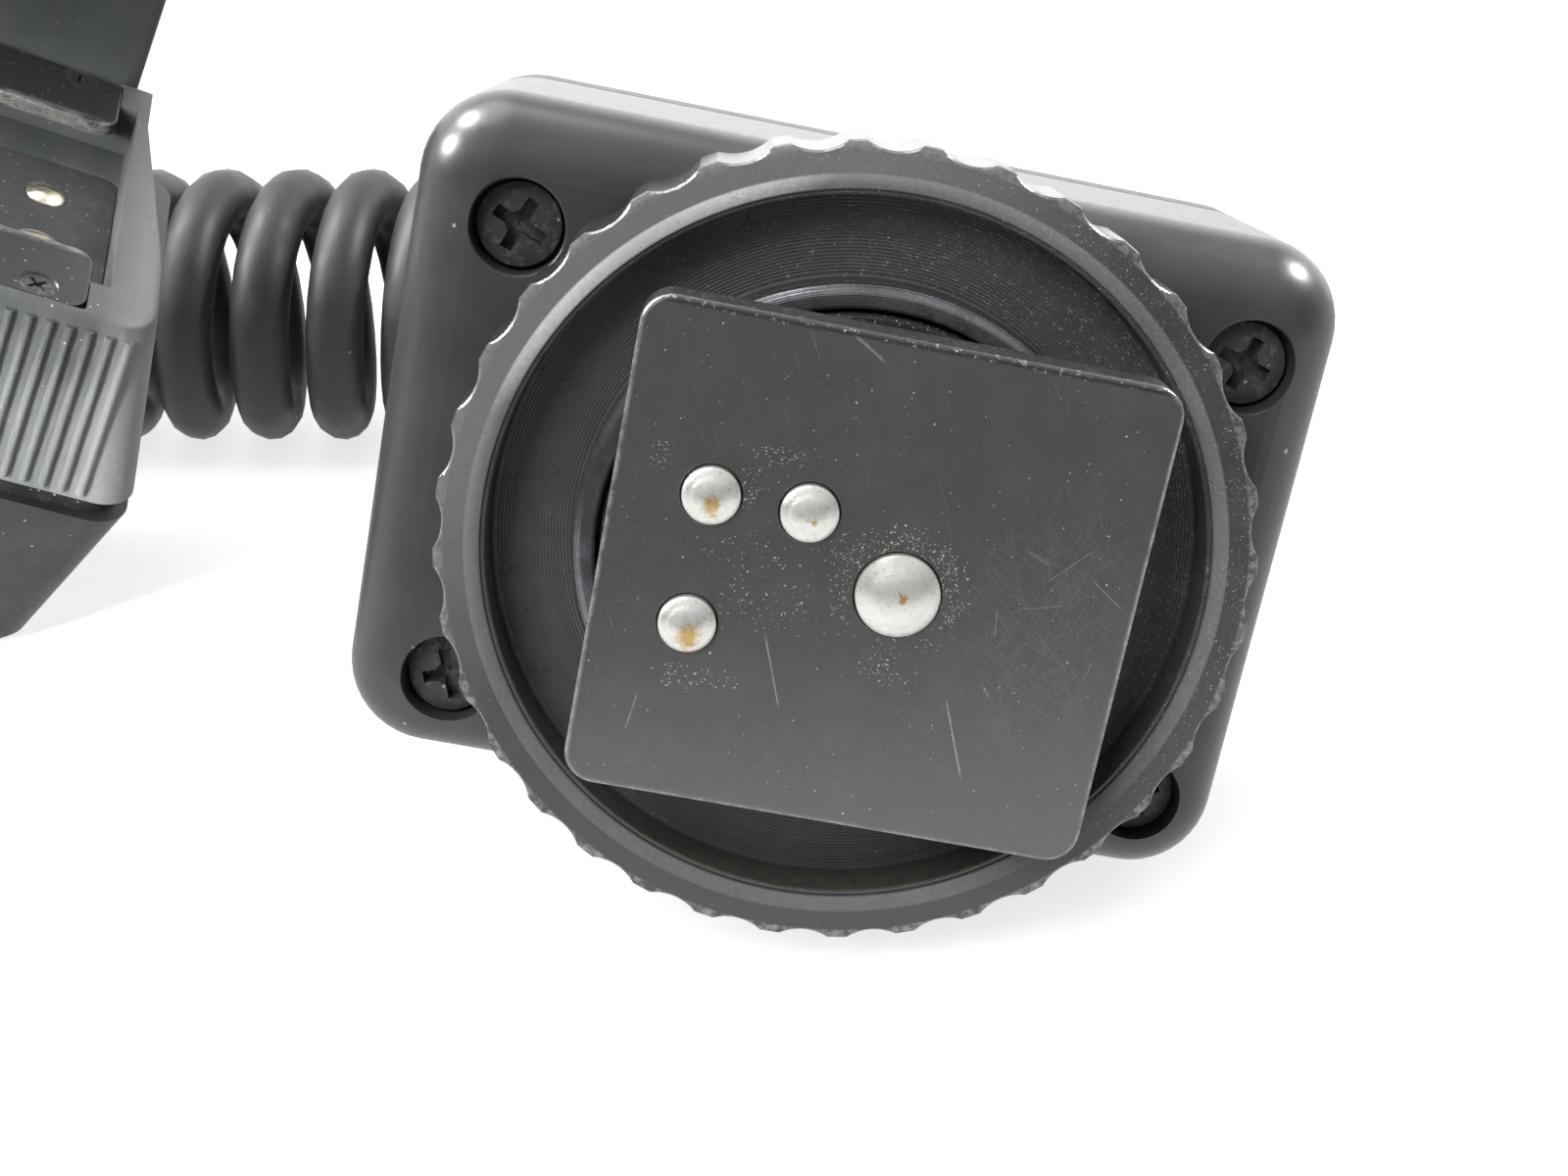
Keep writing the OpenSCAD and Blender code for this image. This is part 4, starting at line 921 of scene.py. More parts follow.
shape = bmesh.new()
turned(shape, [(post_r + 0.05, ring_back), (ring_r - 0.75, ring_back), (ring_r - 0.35, ring_back + 0.03),
               (ring_r - 0.08, ring_back + 0.2), (ring_r, ring_back + 0.4), (ring_r, -0.22), (ring_r - 0.05, -0.07),
               (ring_r - 0.2, 0), (ring_r - 0.35, 0), (lip_r + 0.12, 0), (lip_r, -0.02), (lip_r - 0.25, -0.12),
               (dish_r + 0.22, lip_z + 0.12), (dish_r + 0.18, lip_z + 0.08), (dish_r + 0.17, lip_z),
               (dish_r + 0.05, lip_z), (dish_r, lip_z - 0.05),
               (dish_r, dish_z + 0.25), (dish_r - 0.08, dish_z + 0.08), (dish_r - 0.28, dish_z),
               (hub_r + 0.12, dish_z), (hub_r, dish_z + 0.1), (hub_r, hub_top - 0.06), (hub_r - 0.06, hub_top),
               (post_r + 0.3, hub_top), (post_r + 0.05, hub_top - 0.25)], 288)
ring_blank = cast("scalloped_ring", shape)

ring_black = Finish("ring_black", (0.051, 0.053, 0.053), 0.27, Specular_IOR_Level=0.8, IOR=1.48)
scalloped = Recipe("scalloped", Blank="", Scallops=36, Cutter_Radius=2.0, Cutter_Circle=17.37, Flare=0.08,
                   Ring_Height=4.6)
g = scalloped
of_size = g.given
mill = g.add("MeshCylinder", {"fill_type": "NGON"}, Vertices=64, Radius=of_size["Cutter Radius"],
             Depth=g.plus(of_size["Ring Height"], 0.5)).outputs[0]
mill = g.moved(mill, g.point(z=g.times(of_size["Ring Height"], -0.5)))
flared = g.add("MeshCone", {"fill_type": "NGON"}, Vertices=64, Radius_Bottom=of_size["Cutter Radius"],
               Radius_Top=g.plus(of_size["Cutter Radius"], g.times(of_size["Flare"], 2.0)),
               Depth=g.times(of_size["Flare"], 2.0)).outputs[0]
flared = g.moved(flared, g.point(z=g.times(of_size["Flare"], -1.0)))
round_rim = g.add("MeshCircle", Vertices=of_size["Scallops"], Radius=of_size["Cutter Circle"]).outputs[0]
mills = g.add("InstanceOnPoints", Points=round_rim, Instance=g.joined(mill, flared)).outputs[0]
mills = g.add("RealizeInstances", Geometry=mills).outputs[0]
half = g.sum("DIVIDE", math.pi, of_size["Scallops"])
g.done(g.cut(of_size["Blank"], g.moved(mills, (0, 0, 0), g.point(z=half))))
lock_ring = scalloped.made("scalloped_ring", ring_blank, Scallops=36, Cutter_Radius=scallop_r,
                           Cutter_Circle=ring_r - scallop_depth + scallop_r, Finish=ring_black.material)

where = ring_black.own(plug_place)
x, y, z = ring_black.axes(where)
out = ring_black.across(x, y)
cloud = ring_black.noise(where, 0.8, 5, 0.65)
ring_black.tint(ring_black.ramp(cloud, 0.45, 0.72), (0.062, 0.065, 0.065))
ring_black.shine("Roughness", ring_black.ramp(cloud, 0.35, 0.7), 0.38)
to_left = ring_black.less(y, x)
on_face = ring_black.ramp(z, -0.16, -0.02)
# Towards the top left the face is painted paler: a painted highlight.
ring_black.tint(ring_black.times(ring_black.ramp(to_left, 4.0, 16.0, 0.0, 0.85), on_face),
                (0.165, 0.170, 0.173))
lines = ring_black.sum("SINE", ring_black.times(out, 2 * math.pi / 0.13))
inside = ring_black.ramp(out, dish_r, dish_r - 0.3)
ring_black.tint(ring_black.times(inside, ring_black.ramp(lines, -0.2, 1.0, 0.0, 0.45)),
                (0.095, 0.097, 0.095))
on_lip = ring_black.times(ring_black.ramp(out, lip_r + 0.1, lip_r + 0.02),
                          ring_black.times(ring_black.ramp(out, dish_r + 0.18, dish_r + 0.26),
                                           ring_black.ramp(z, lip_z - 0.1, lip_z)))
rubbed = ring_black.patches(where, 4.5, 4, 0.3, 0.6, 0.72, 1.0, rough=0.6)
# The lip is rubbed to the metal, most at the top left, where its near-white colour is also a painted highlight.
worn = ring_black.times(on_lip, ring_black.times(ring_black.ramp(to_left, 17.2, 20.4, 0.12, 1.0), rubbed))
ring_black.tint(worn, (0.98, 0.985, 0.99))
ring_black.shine("Metallic", worn, 0.38)
ring_black.shine("Roughness", worn, 0.22)
# The outer wall below the face is painted darker: painted shade.
shaded_wall_side = ring_black.times(ring_black.ramp(out, 14.9, 15.1), ring_black.ramp(z, -0.18, -0.3))
ring_black.tint(shaded_wall_side, (0.030, 0.031, 0.031))
ring_black.shine("Roughness", shaded_wall_side, 0.24)
edge = ring_black.times(on_face,
                        ring_black.ramp(out, ring_r - scallop_depth - 0.10, ring_r - scallop_depth - 0.03))
scuffed = ring_black.patches(where, 2.1, 5, 0.42, 0.62, rough=0.7)
worn = ring_black.times(edge, scuffed)
ring_black.tint(worn, (0.34, 0.34, 0.33))
ring_black.shine("Metallic", worn, 0.6)
up_right = ring_black.ramp(ring_black.plus(x, y), -2.0, 14.0, 0.02, 0.5)
patches = ring_black.times(up_right, ring_black.patches(where, 0.7, 4, 0.38, 0.6, 0.25, 1.0))
for apart, size in ((0.07, 0.026), (0.15, 0.040)):
    ring_black.tint(ring_black.grains(where, apart, size, patches), (0.32, 0.30, 0.27))
grime = ring_black.times(ring_black.ramp(z, dish_z + 0.1, dish_z + 0.9),
                         ring_black.times(ring_black.ramp(out, dish_r + 0.1, dish_r - 0.05),
                                          ring_black.ramp(out, dish_r - 0.6, dish_r - 0.2)))
grime = ring_black.times(grime, ring_black.patches(where, 1.9, 6, 0.42, 0.60, 0.0, 0.85, rough=0.75))
ring_black.tint(grime, (0.13, 0.105, 0.065))
crumbs = ring_black.times(ring_black.ramp(out, dish_r - 2.6, dish_r - 0.4),
                          ring_black.ramp(x, 2.0, 9.0, 0.0, 0.45))
crumbs = ring_black.times(crumbs, ring_black.ramp(z, dish_z + 0.8, dish_z + 0.1))
ring_black.tint(ring_black.grains(where, 0.13, 0.06, crumbs), (0.20, 0.17, 0.11))
ring_black.bump(lines, 0.012, ring_black.times(inside, 0.8))
fine = ring_black.sum("SINE", ring_black.times(out, 2 * math.pi / 0.07))
ring_black.bump(fine, 0.003, 0.35)
laid(lock_ring, plug_place, ring_black, "lock_ring", "ring_black", "lock_ring", sharp=30)


# ---------------------------------------------------------------------------
# Pressure washer: a dark turned washer that rides on the ring's hub and bears
# on the camera's shoe when the ring is wound up. Dust sits in its grease.
shape = bmesh.new()
turned(shape, [(post_r + 0.15, -0.98), (hub_r - 0.05, -0.98), (hub_r, -0.93), (hub_r, -0.62), (hub_r - 0.08, -0.50),
               (hub_r - 0.30, -0.34), (hub_r - 0.42, -0.30), (post_r + 0.25, -0.30), (post_r + 0.15, -0.40)], 192)
washer_dark = Finish("washer_dark", (0.26, 0.27, 0.29), 0.20, 0.85, Specular_IOR_Level=0.6)
where = washer_dark.own(plug_place)
x, y, z = washer_dark.axes(where)
washer_dark.tint(washer_dark.patches(where, 1.2, 3, 0.40, 0.70, 0.0, 0.7), (0.15, 0.155, 0.165))
to_right = washer_dark.plus(y, x)
for apart, size, share in ((0.065, 0.028, 0.75), (0.13, 0.045, 0.5)):
    washer_dark.tint(washer_dark.grains(where, apart, size, washer_dark.ramp(to_right, 6.5, 12.5, 0.01, share)),
                     (0.46, 0.43, 0.37))
washer_dark.shine("Roughness", washer_dark.patches(where, 1.5, 3, 0.4, 0.65), 0.30)
ringed = washer_dark.sum("SINE", washer_dark.times(washer_dark.across(x, y), 2 * math.pi / 0.09))
washer_dark.bump(ringed, 0.004, 0.6)
laid(cast("pressure_washer", shape), plug_place, washer_dark, "pressure_washer", "washer_dark", "thrust_washer")


# ---------------------------------------------------------------------------
# Pin carrier: a black phenolic block in the post's slot, bored for the pins.
# Its shape is the CAD solid's, and its finish has the cloth grain of the sheet.
phenolic = Finish("phenolic", (0.024, 0.021, 0.018), 0.5)
where = phenolic.own(plug_place)
weave = phenolic.add("TexWave", Vector=where, Scale=1.6, Distortion=1.5, Detail=2.0).outputs["Color"]
phenolic.tint(phenolic.ramp(weave, 0.3, 0.8), (0.040, 0.033, 0.026))
phenolic.shine("Roughness", phenolic.patches(where, 3, 4, 0.35, 0.7), 0.66)
phenolic.bump(weave, 0.01, 0.5)


def refinished(node, finish):
    """Gives a CAD solid its finish, and leaves its shape."""
    solid = nodes[node]
    solid.data.materials.clear()
    solid.data.materials.append(finish.material)


refinished("pin_carrier", phenolic)


# ---------------------------------------------------------------------------
# Sprung pins: nickel-plated brass, turned with a domed tip and a shoulder. The
# two outer signal pins have rubbed through to the brass at their tips.
shoulder_z = -2.0
centre_travel = 0.65
signal_travel = 0.5


def pin(name, at, r, travel, brass_at, brass_size, body, node):
    """A pin that stands its travel proud of the plate, with brass bare at one spot of its tip."""
    tip = plate_face + travel + 0.1
    dome = 0.4 * r
    profile = [(0, shoulder_z - 3.5), (0.4, shoulder_z - 3.5), (0.45, shoulder_z - 3.4), (0.45, shoulder_z),
               (r + 0.45, shoulder_z), (r + 0.5, shoulder_z + 0.05), (r + 0.5, shoulder_z + 0.9),
               (r + 0.45, shoulder_z + 0.95), (r, shoulder_z + 0.95), (r, tip - dome - 0.02)]
    bulge = (r * r + dome * dome) / (2 * dome)
    for k in range(15):
        out = r * (1 - 0.02 - k / 15)
        dip = 0.018 if 0.70 < out / r < 0.80 else 0.0
        profile.append((out, tip - bulge + math.sqrt(bulge ** 2 - out ** 2) - dip - 0.005))
    profile.append((0, tip - 0.005))
    shape = bmesh.new()
    turned(shape, profile, 72, at)
    nickel = Finish(name + "_nickel", (0.92, 0.91, 0.87), 0.27, 0.66)
    where = nickel.own(plug_place, at=(*at, 0))
    x, y, z = nickel.axes(where)
    off = nickel.across(nickel.less(x, brass_at[0]), nickel.less(y, brass_at[1]))
    blurred = nickel.plus(off, nickel.patches(where, 1.6, 5, 0.3, 0.7, -0.3, 0.3, rough=0.7))
    brass = nickel.times(nickel.ramp(blurred, brass_size, brass_size * 0.35), nickel.ramp(z, 2.9, 3.1))
    nickel.tint(nickel.patches(where, 2.4, 6, 0.46, 0.68, 0.0, 0.5, rough=0.7), (0.70, 0.68, 0.62))
    nickel.tint(brass, (0.62, 0.42, 0.16))
    nickel.shine("Roughness", nickel.patches(where, 3.5, 6, 0.35, 0.65, rough=0.75), 0.40)
    nickel.tint(nickel.grains(where, 0.07, 0.030, nickel.ramp(y, -1.2, 1.2, 0.03, 0.4)), (0.45, 0.42, 0.34))
    nickel.bump(nickel.noise(where, 7, 5, 0.7), 0.012, 0.8)
    laid(cast(name, shape), plug_place, nickel, body, "pin_nickel", node, sharp=50)


pin("centre_pin_turned", centre_at, centre_r, centre_travel, (0.1, 0.15), 0.12, "centre_pin", "centre_pin")
for key, spot, size in (("a", (0.05, -0.28), 0.45), ("b", (0.10, -0.25), 0.16), ("c", (0.12, -0.36), 0.62)):
    pin(f"signal_pin_{key}_turned", signal_at[key], signal_r, signal_travel, spot, size, f"signal_pin_{key}",
        f"signal_pin_{key}")


# ---------------------------------------------------------------------------
# Pin springs: hard-drawn steel wire, closed at both ends, in the carrier's
# wells, each with its foot on the carrier's back.
coil_wire = Recipe("coil_wire", Radius=1.0, Height=4.0, Turns=6.0, Wire=0.15)
g = coil_wire
of_size = g.given
bent = g.add("CurveSpiral", Resolution=24, Rotations=of_size["Turns"], Start_Radius=of_size["Radius"],
             End_Radius=of_size["Radius"], Height=of_size["Height"]).outputs[0]
round_wire = g.add("CurvePrimitiveCircle", Resolution=10, Radius=of_size["Wire"]).outputs[0]
g.done(g.add("CurveToMesh", Curve=bent, Profile_Curve=round_wire, Fill_Caps=True).outputs[0])
spring_foot = -10.98
spring_head = -2.02
wire_r = 0.15
spring_steel = Finish("spring_steel", (0.40, 0.40, 0.41), 0.30, 1.0)
where = spring_steel.own(plug_place)
spring_steel.tint(spring_steel.patches(where, 3, 5, 0.45, 0.7, rough=0.6), (0.24, 0.23, 0.22))
spring_steel.shine("Roughness", spring_steel.patches(where, 8, 3, 0.4, 0.7), 0.46)
for name, at, r, travel, joint, node in [
        ("centre_coil", centre_at, centre_r, centre_travel, "centre_pin_press", "centre_spring")] + [
        (f"signal_coil_{key}", spot, signal_r, signal_travel, f"signal_pin_{key}_press", f"signal_spring_{key}")
        for key, spot in signal_at.items()]:
    coil = coil_wire.made(name, Radius=r - wire_r, Height=spring_head - spring_foot - 2 * wire_r, Turns=6.5,
                          Wire=wire_r, Finish=spring_steel.material)
    coil.data.transform(Matrix.Translation((*at, spring_foot + wire_r)))
    laid(coil, plug_place, spring_steel, nodes[node]["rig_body"], "steel", node, sharp=60)
    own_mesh(coil)


# ---------------------------------------------------------------------------
# Circuit boards: solder-masked glass fibre, one behind the pins and one under
# the shoe's contacts. Both are inside, so their shapes are the CAD solids'.
def board(name, place):
    """Green mask over copper runs, which show as paler bands through it."""
    finish = Finish(name, (0.020, 0.105, 0.045), 0.32)
    where = finish.own(place)
    for stretch in ((1, 0.12, 1), (0.12, 1, 1)):
        runs = finish.noise(finish.own(place, stretch=stretch), 1.1, 1, 0.2)
        off_run = finish.sum("ABSOLUTE", finish.less(runs, 0.5))
        finish.tint(finish.ramp(off_run, 0.035, 0.02), (0.045, 0.19, 0.08))
    finish.tint(finish.grains(where, 2.4, 0.5, 0.5), (0.62, 0.61, 0.58))
    finish.bump(finish.noise(where, 9, 3), 0.01, 0.5)
    return finish


refinished("plug_board", board("plug_board_green", plug_place))
refinished("shoe_board", board("shoe_board_green", block_place))


# ---------------------------------------------------------------------------
# Strain reliefs: soft black rubber, moulded on the cord, with a flange behind
# the wall and five grooves that let the taper bend.
def strain_relief(name, wall_t, lie, place, node):
    """A grooved boot, turned about the cord and laid where it leaves a wall of that thickness."""
    grooves, wide, tip = 5, 4.2, 2.7
    profile = [(0, wall_t + 0.8), (3.2, wall_t + 0.8), (3.3, wall_t + 0.7), (3.3, wall_t + 0.1),
               (3.2, wall_t + 0.02), (2.9, wall_t + 0.02), (2.9, -0.02), (wide - 0.25, -0.02), (wide - 0.07, -0.09),
               (wide, -0.25)]
    for i in range(1, grooves + 1):
        z = -i * boot_l / (grooves + 1)
        r = wide + (wide - tip) * z / boot_l
        for k in range(9):
            a = math.radians(180 * k / 8)
            lip = 0.05 if k in (0, 8) else 0.0
            profile.append((r - 0.34 * math.sin(a) - lip, z + 0.42 * math.cos(a)))
    profile += [(tip + 0.03, -boot_l + 0.3), (tip - 0.06, -boot_l + 0.08), (tip - 0.25, -boot_l),
                (cord_d / 2 + 0.05, -boot_l), (cord_d / 2 + 0.05, -boot_l + 0.6), (0, -boot_l + 0.6)]
    shape = bmesh.new()
    turned(shape, profile, 72)
    boot = cast(name, shape)
    boot.data.transform(lie)
    rubber = Finish(name + "_rubber", (0.022, 0.022, 0.023), 0.62, Specular_IOR_Level=0.35)
    where = rubber.own(place)
    rubber.tint(rubber.patches(where, 0.9, 5, 0.42, 0.72, rough=0.6), (0.040, 0.040, 0.041))
    rubber.shine("Roughness", rubber.patches(where, 3, 4, 0.35, 0.7), 0.75)
    rubber.tint(rubber.grains(where, 0.3, 0.07, 0.15), (0.22, 0.21, 0.19))
    rubber.bump(rubber.noise(where, 11, 3), 0.02, 0.6)
    laid(boot, place, rubber, "cord_and_ends", "boot_rubber", node, sharp=45)


strain_relief("plug_strain_relief", 4.0, Matrix.Translation((*boot_at, plug_back)), plug_place, "plug_boot")
along_x = Matrix.Translation(block_boot_at) @ Matrix.Rotation(math.pi / 2, 4, "Y")
strain_relief("block_strain_relief", 4.8, along_x, block_place, "shoe_boot")


# ---------------------------------------------------------------------------
# Flash block, upper shell: a matt black moulding whose top is the accessory
# shoe, with a wall behind it and fine ribs down the front for grip.
block_l, block_w = 31, 28
block_mid = (-1.5, 0)
block_r = 2
seam_z = -7.0
rail_under = 2.15
deck_z = 2.95
side_draft = 1.6
channel_half = 9.4
stop_x = 9.95
cheek_z = -3
riser_top = 14.95
rail_mid = -1.55
rail_l = 21
rail_out = 2.6
shoe_floor = 1.4
base_screw_at = (11.2, 9.6)
rail_screw_at = (8.1, 10.92)
rail_hole_r = 0.506
boss_r = 2.2
tongue_mid = (0.45, 0)


def box_of(x, y, z, r=None):
    """A block between those limits, its upright edges rounded where r is given."""
    shape = bmesh.new()
    mid = ((x[0] + x[1]) / 2, (y[0] + y[1]) / 2)
    skinned(shape, [rounded(x[1] - x[0], y[1] - y[0], r or 0.01, level, mid, 6 if r else 1) for level in z])
    return cast("block_tool", shape)


def bored(spots, *profile, steps=32):
    """Turned cutting tools, one at each place."""
    shape = bmesh.new()
    for spot in spots:
        turned(shape, profile, steps, spot)
    return cast("bore_tool", shape)


def drafted(z_start, z_end, draft, edge):
    """Loops of a block that tapers by draft from its start to its end, where its edge is rounded."""
    loops = []
    way = 1 if z_end > z_start else -1
    for k in range(12):
        z = z_start + (z_end - z_start) * (k / 12)
        if abs(z_end - z) >= edge:
            inset = draft * (k / 12)
            loops.append(rounded(block_l - 2 * inset, block_w - 2 * inset, block_r, z, block_mid))
    for k in range(7):
        a = math.radians(15 * k)
        inset = draft + edge * (1 - math.cos(a))
        z = z_end - way * edge * (1 - math.sin(a))
        loops.append(rounded(block_l - 2 * inset, block_w - 2 * inset, block_r, z, block_mid))
    inset += 0.3
    loops.append(rounded(block_l - 2 * inset, block_w - 2 * inset, block_r - 0.3, z_end, block_mid))
    return loops


at_base_screws = [(block_mid[0] + x * base_screw_at[0], y * base_screw_at[1]) for x, y in corners]
at_rail_screws = [(rail_mid + x * rail_screw_at[0], y * rail_screw_at[1]) for x, y in corners]
shape = bmesh.new()
skinned(shape, drafted(seam_z, deck_z, side_draft, 0.4))
block_shell = cast("block_shell", shape)

grip = Recipe("grip_ribs", Ribs=28, Pitch=0.95, Width=0.475, Stands_Out=0.35, Height=8.95, Lean=0.16)
g = grip
of_size = g.given
bar = g.add("MeshCylinder", {"fill_type": "NGON"}, Vertices=20, Side_Segments=1,
            Radius=g.times(of_size["Width"], 0.5), Depth=of_size["Height"]).outputs[0]
deeper = g.sum("DIVIDE", of_size["Stands Out"], g.times(of_size["Width"], 0.5))
bar = g.add("Transform", Geometry=bar, Translation=g.point(z=g.times(of_size["Height"], 0.5)),
            Scale=g.point(1.0, deeper, 1.0)).outputs[0]
bar = g.moved(bar, (0, 0, 0), g.point(x=g.times(of_size["Lean"], -1.0)))
span = g.times(of_size["Pitch"], g.less(of_size["Ribs"], 1.0))
row = g.add("MeshLine", {"mode": "OFFSET"}, Count=of_size["Ribs"], Offset=g.point(x=of_size["Pitch"])).outputs[0]
row = g.moved(row, g.point(x=g.times(span, -0.5)))
g.done(g.add("InstanceOnPoints", Points=row, Instance=bar).outputs[0])

shell_black = Finish("shell_black", (0.058, 0.062, 0.063), 0.54)
ribs = grip.made("block_ribs", Lean=math.atan(side_draft / (deck_z - seam_z)), Finish=shell_black.material)
ribs.data.transform(Matrix.Translation((block_mid[0], -block_w / 2 + 0.05, seam_z + 0.35)))
worked(block_shell, ribs, "UNION")
shape = bmesh.new()
skinned(shape, [[(x, y, z) for x, y in ((10.6, block_w), (10.6, 8), (12.4, -7), (14.1, -14.5), (block_w, -14.5),
                                        (block_w, block_w))] for z in (cheek_z, deck_z + 1)])
worked(block_shell, cast("cheek_tool", shape))
worked(block_shell, box_of((-12.4, 9.4), (-10.4, 10.4), (seam_z - 0.1, -shoe_floor), 1))
worked(block_shell, bored(at_base_screws, (0, seam_z), (boss_r, seam_z), (boss_r, cheek_z), (0, cheek_z)), "UNION")
riser_left, riser_right = -15.4, 9.8
riser_l = riser_right - riser_left
riser_mid = ((riser_left + riser_right) / 2, 14.7)
riser_edge = 0.6
loops = [rounded(riser_l, 5 - (z - cheek_z) / (riser_top - cheek_z), 1, z, riser_mid)
         for z in (cheek_z, 2, 8, riser_top - riser_edge)]
for k in range(1, 7):
    a = math.radians(15 * k)
    inset = riser_edge * (1 - math.cos(a))
    loops.append(rounded(riser_l - 2 * inset, 4 - 2 * inset, 1 - inset * 0.6,
                         riser_top - riser_edge * (1 - math.sin(a)), riser_mid))
shape = bmesh.new()
skinned(shape, loops)
worked(block_shell, cast("back_wall", shape), "UNION")
worked(block_shell, box_of((-40, stop_x), (-channel_half, channel_half), (0, riser_top + 2)))
for side in (-1, 1):
    ledge = sorted((side * (channel_half - 0.1), side * (channel_half + rail_out + 0.02)))
    worked(block_shell, box_of((rail_mid - rail_l / 2 - 0.02, rail_mid + rail_l / 2 + 0.02), ledge,
                               (rail_under, riser_top if side < 0 else deck_z + 0.6), 0.3))
worked(block_shell, box_of((tongue_mid[0] - 9.5, tongue_mid[0] + 9.5), (-6.2, 6.2), (-shoe_floor - 0.1, 0.1), 1))
worked(block_shell, bored(at_base_screws, (0, seam_z - 0.1), (0.82, seam_z - 0.1), (0.82, seam_z + 3.4),
                          (0, seam_z + 3.4)))
worked(block_shell, bored(at_rail_screws, (0, 0.55), (rail_hole_r, 0.55), (rail_hole_r, 3.2), (0, 3.2)))

where = shell_black.own(block_place)
shell_black.tint(shell_black.patches(where, 0.5, 5, 0.42, 0.72, rough=0.6), (0.085, 0.090, 0.095))
x, y, z = shell_black.axes(where)
# The ribbed front is painted paler: painted light on it.
shell_black.tint(shell_black.times(shell_black.ramp(y, -12.9, -13.4), 0.8), (0.135, 0.142, 0.141))
# The cheek at the right is painted paler: a painted highlight.
shell_black.tint(shell_black.times(shell_black.ramp(x, 9.5, 11.5), 0.7), (0.20, 0.205, 0.205))
# Above the deck the shell is darker towards its top.
shell_black.tint(shell_black.ramp(z, 1.0, 6.0, 0.0, 0.8), (0.024, 0.027, 0.026))
shell_black.shine("Roughness", shell_black.patches(where, 2.4, 5, 0.35, 0.7, rough=0.6), 0.58)
shell_black.dust(where, 0.35, 0.07, 0.12, (0.30, 0.29, 0.26))
shell_black.bump(shell_black.noise(where, 10, 3), 0.018, 0.6)
laid(block_shell, block_place, shell_black, "cord_and_ends", "shell_black", "shoe_housing")


# ---------------------------------------------------------------------------
# Shoe rails: two blackened steel lips, pressed from strip, held by countersunk
# screws. Flashes have rubbed their inner edges bright.
rail_w = 5.4
rail_y = 9.3
rail_steel = Finish("rail_steel", (0.024, 0.026, 0.027), 0.36, 0.35)
shape = bmesh.new()
for side in (-1, 1):
    mid = (rail_mid, side * rail_y)
    skinned(shape, [rounded(rail_l - 0.2, rail_w - 0.2, 1.1, rail_under, mid),
                    rounded(rail_l - 0.06, rail_w - 0.06, 1.17, rail_under + 0.04, mid),
                    rounded(rail_l, rail_w, 1.2, rail_under + 0.12, mid),
                    rounded(rail_l, rail_w, 1.2, deck_z - 0.16, mid),
                    rounded(rail_l - 0.09, rail_w - 0.09, 1.15, deck_z - 0.05, mid),
                    rounded(rail_l - 0.3, rail_w - 0.3, 1.05, deck_z, mid)])
rails = cast("rail_strips", shape)
worked(rails, bored(at_rail_screws, (0, rail_under - 0.2), (rail_hole_r, rail_under - 0.2),
                    (rail_hole_r, deck_z - 0.4), (0.92, deck_z - 0.4), (0.92, deck_z - 0.08),
                    (1.02, deck_z + 0.02), (1.02, deck_z + 0.3), (0, deck_z + 0.3), steps=48))
where = rail_steel.own(block_place)
x, y, z = rail_steel.axes(where)
inner = rail_steel.ramp(rail_steel.sum("ABSOLUTE", y), 7.3, 6.65)
ragged = rail_steel.patches(rail_steel.own(block_place, stretch=(0.35, 1, 1)), 2.0, 6, 0.38, 0.62, rough=0.7)
worn = rail_steel.times(inner, ragged)
rail_steel.tint(worn, (0.46, 0.46, 0.45))
rail_steel.shine("Metallic", worn, 0.8)
rail_steel.shine("Roughness", worn, 0.24)
drawn = rail_steel.noise(rail_steel.own(block_place, stretch=(0.2, 8, 8)), 2.2, 4, 0.6)
rail_steel.tint(rail_steel.ramp(drawn, 0.5, 0.8, 0.0, 0.4), (0.07, 0.07, 0.07))
rail_steel.dust(where, 0.25, 0.07, 0.2, (0.34, 0.31, 0.26))
rail_steel.bump(drawn, 0.006, 0.6)
laid(rails, block_place, rail_steel, "cord_and_ends", "rail_steel", "shoe_rails")

screw_steel = Finish("rail_screw_steel", (0.040, 0.042, 0.043), 0.36, 0.6)
where = screw_steel.own(block_place)
screw_steel.tint(screw_steel.patches(where, 4, 5, 0.48, 0.7, rough=0.65), (0.14, 0.14, 0.135))
screw_steel.bump(screw_steel.noise(where, 16, 3), 0.01, 0.6)
rail_fixings = cross_screws.made("rail_fixings", Head_Radius=0.9, Head_Height=0.36, Crown=0.05, Shank_Radius=0.486,
                                 Shank_Length=1.96, Slot_Span=1.1, Slot_Width=0.2, Slot_Depth=0.22,
                                 Apart_X=2 * rail_screw_at[0], Apart_Y=2 * rail_screw_at[1], First_Turn=0.5,
                                 Finish=screw_steel.material)
rail_fixings.data.transform(Matrix.Translation((rail_mid, 0, deck_z - 0.4)))
laid(rail_fixings, block_place, screw_steel, "cord_and_ends", "steel", "rail_screws")


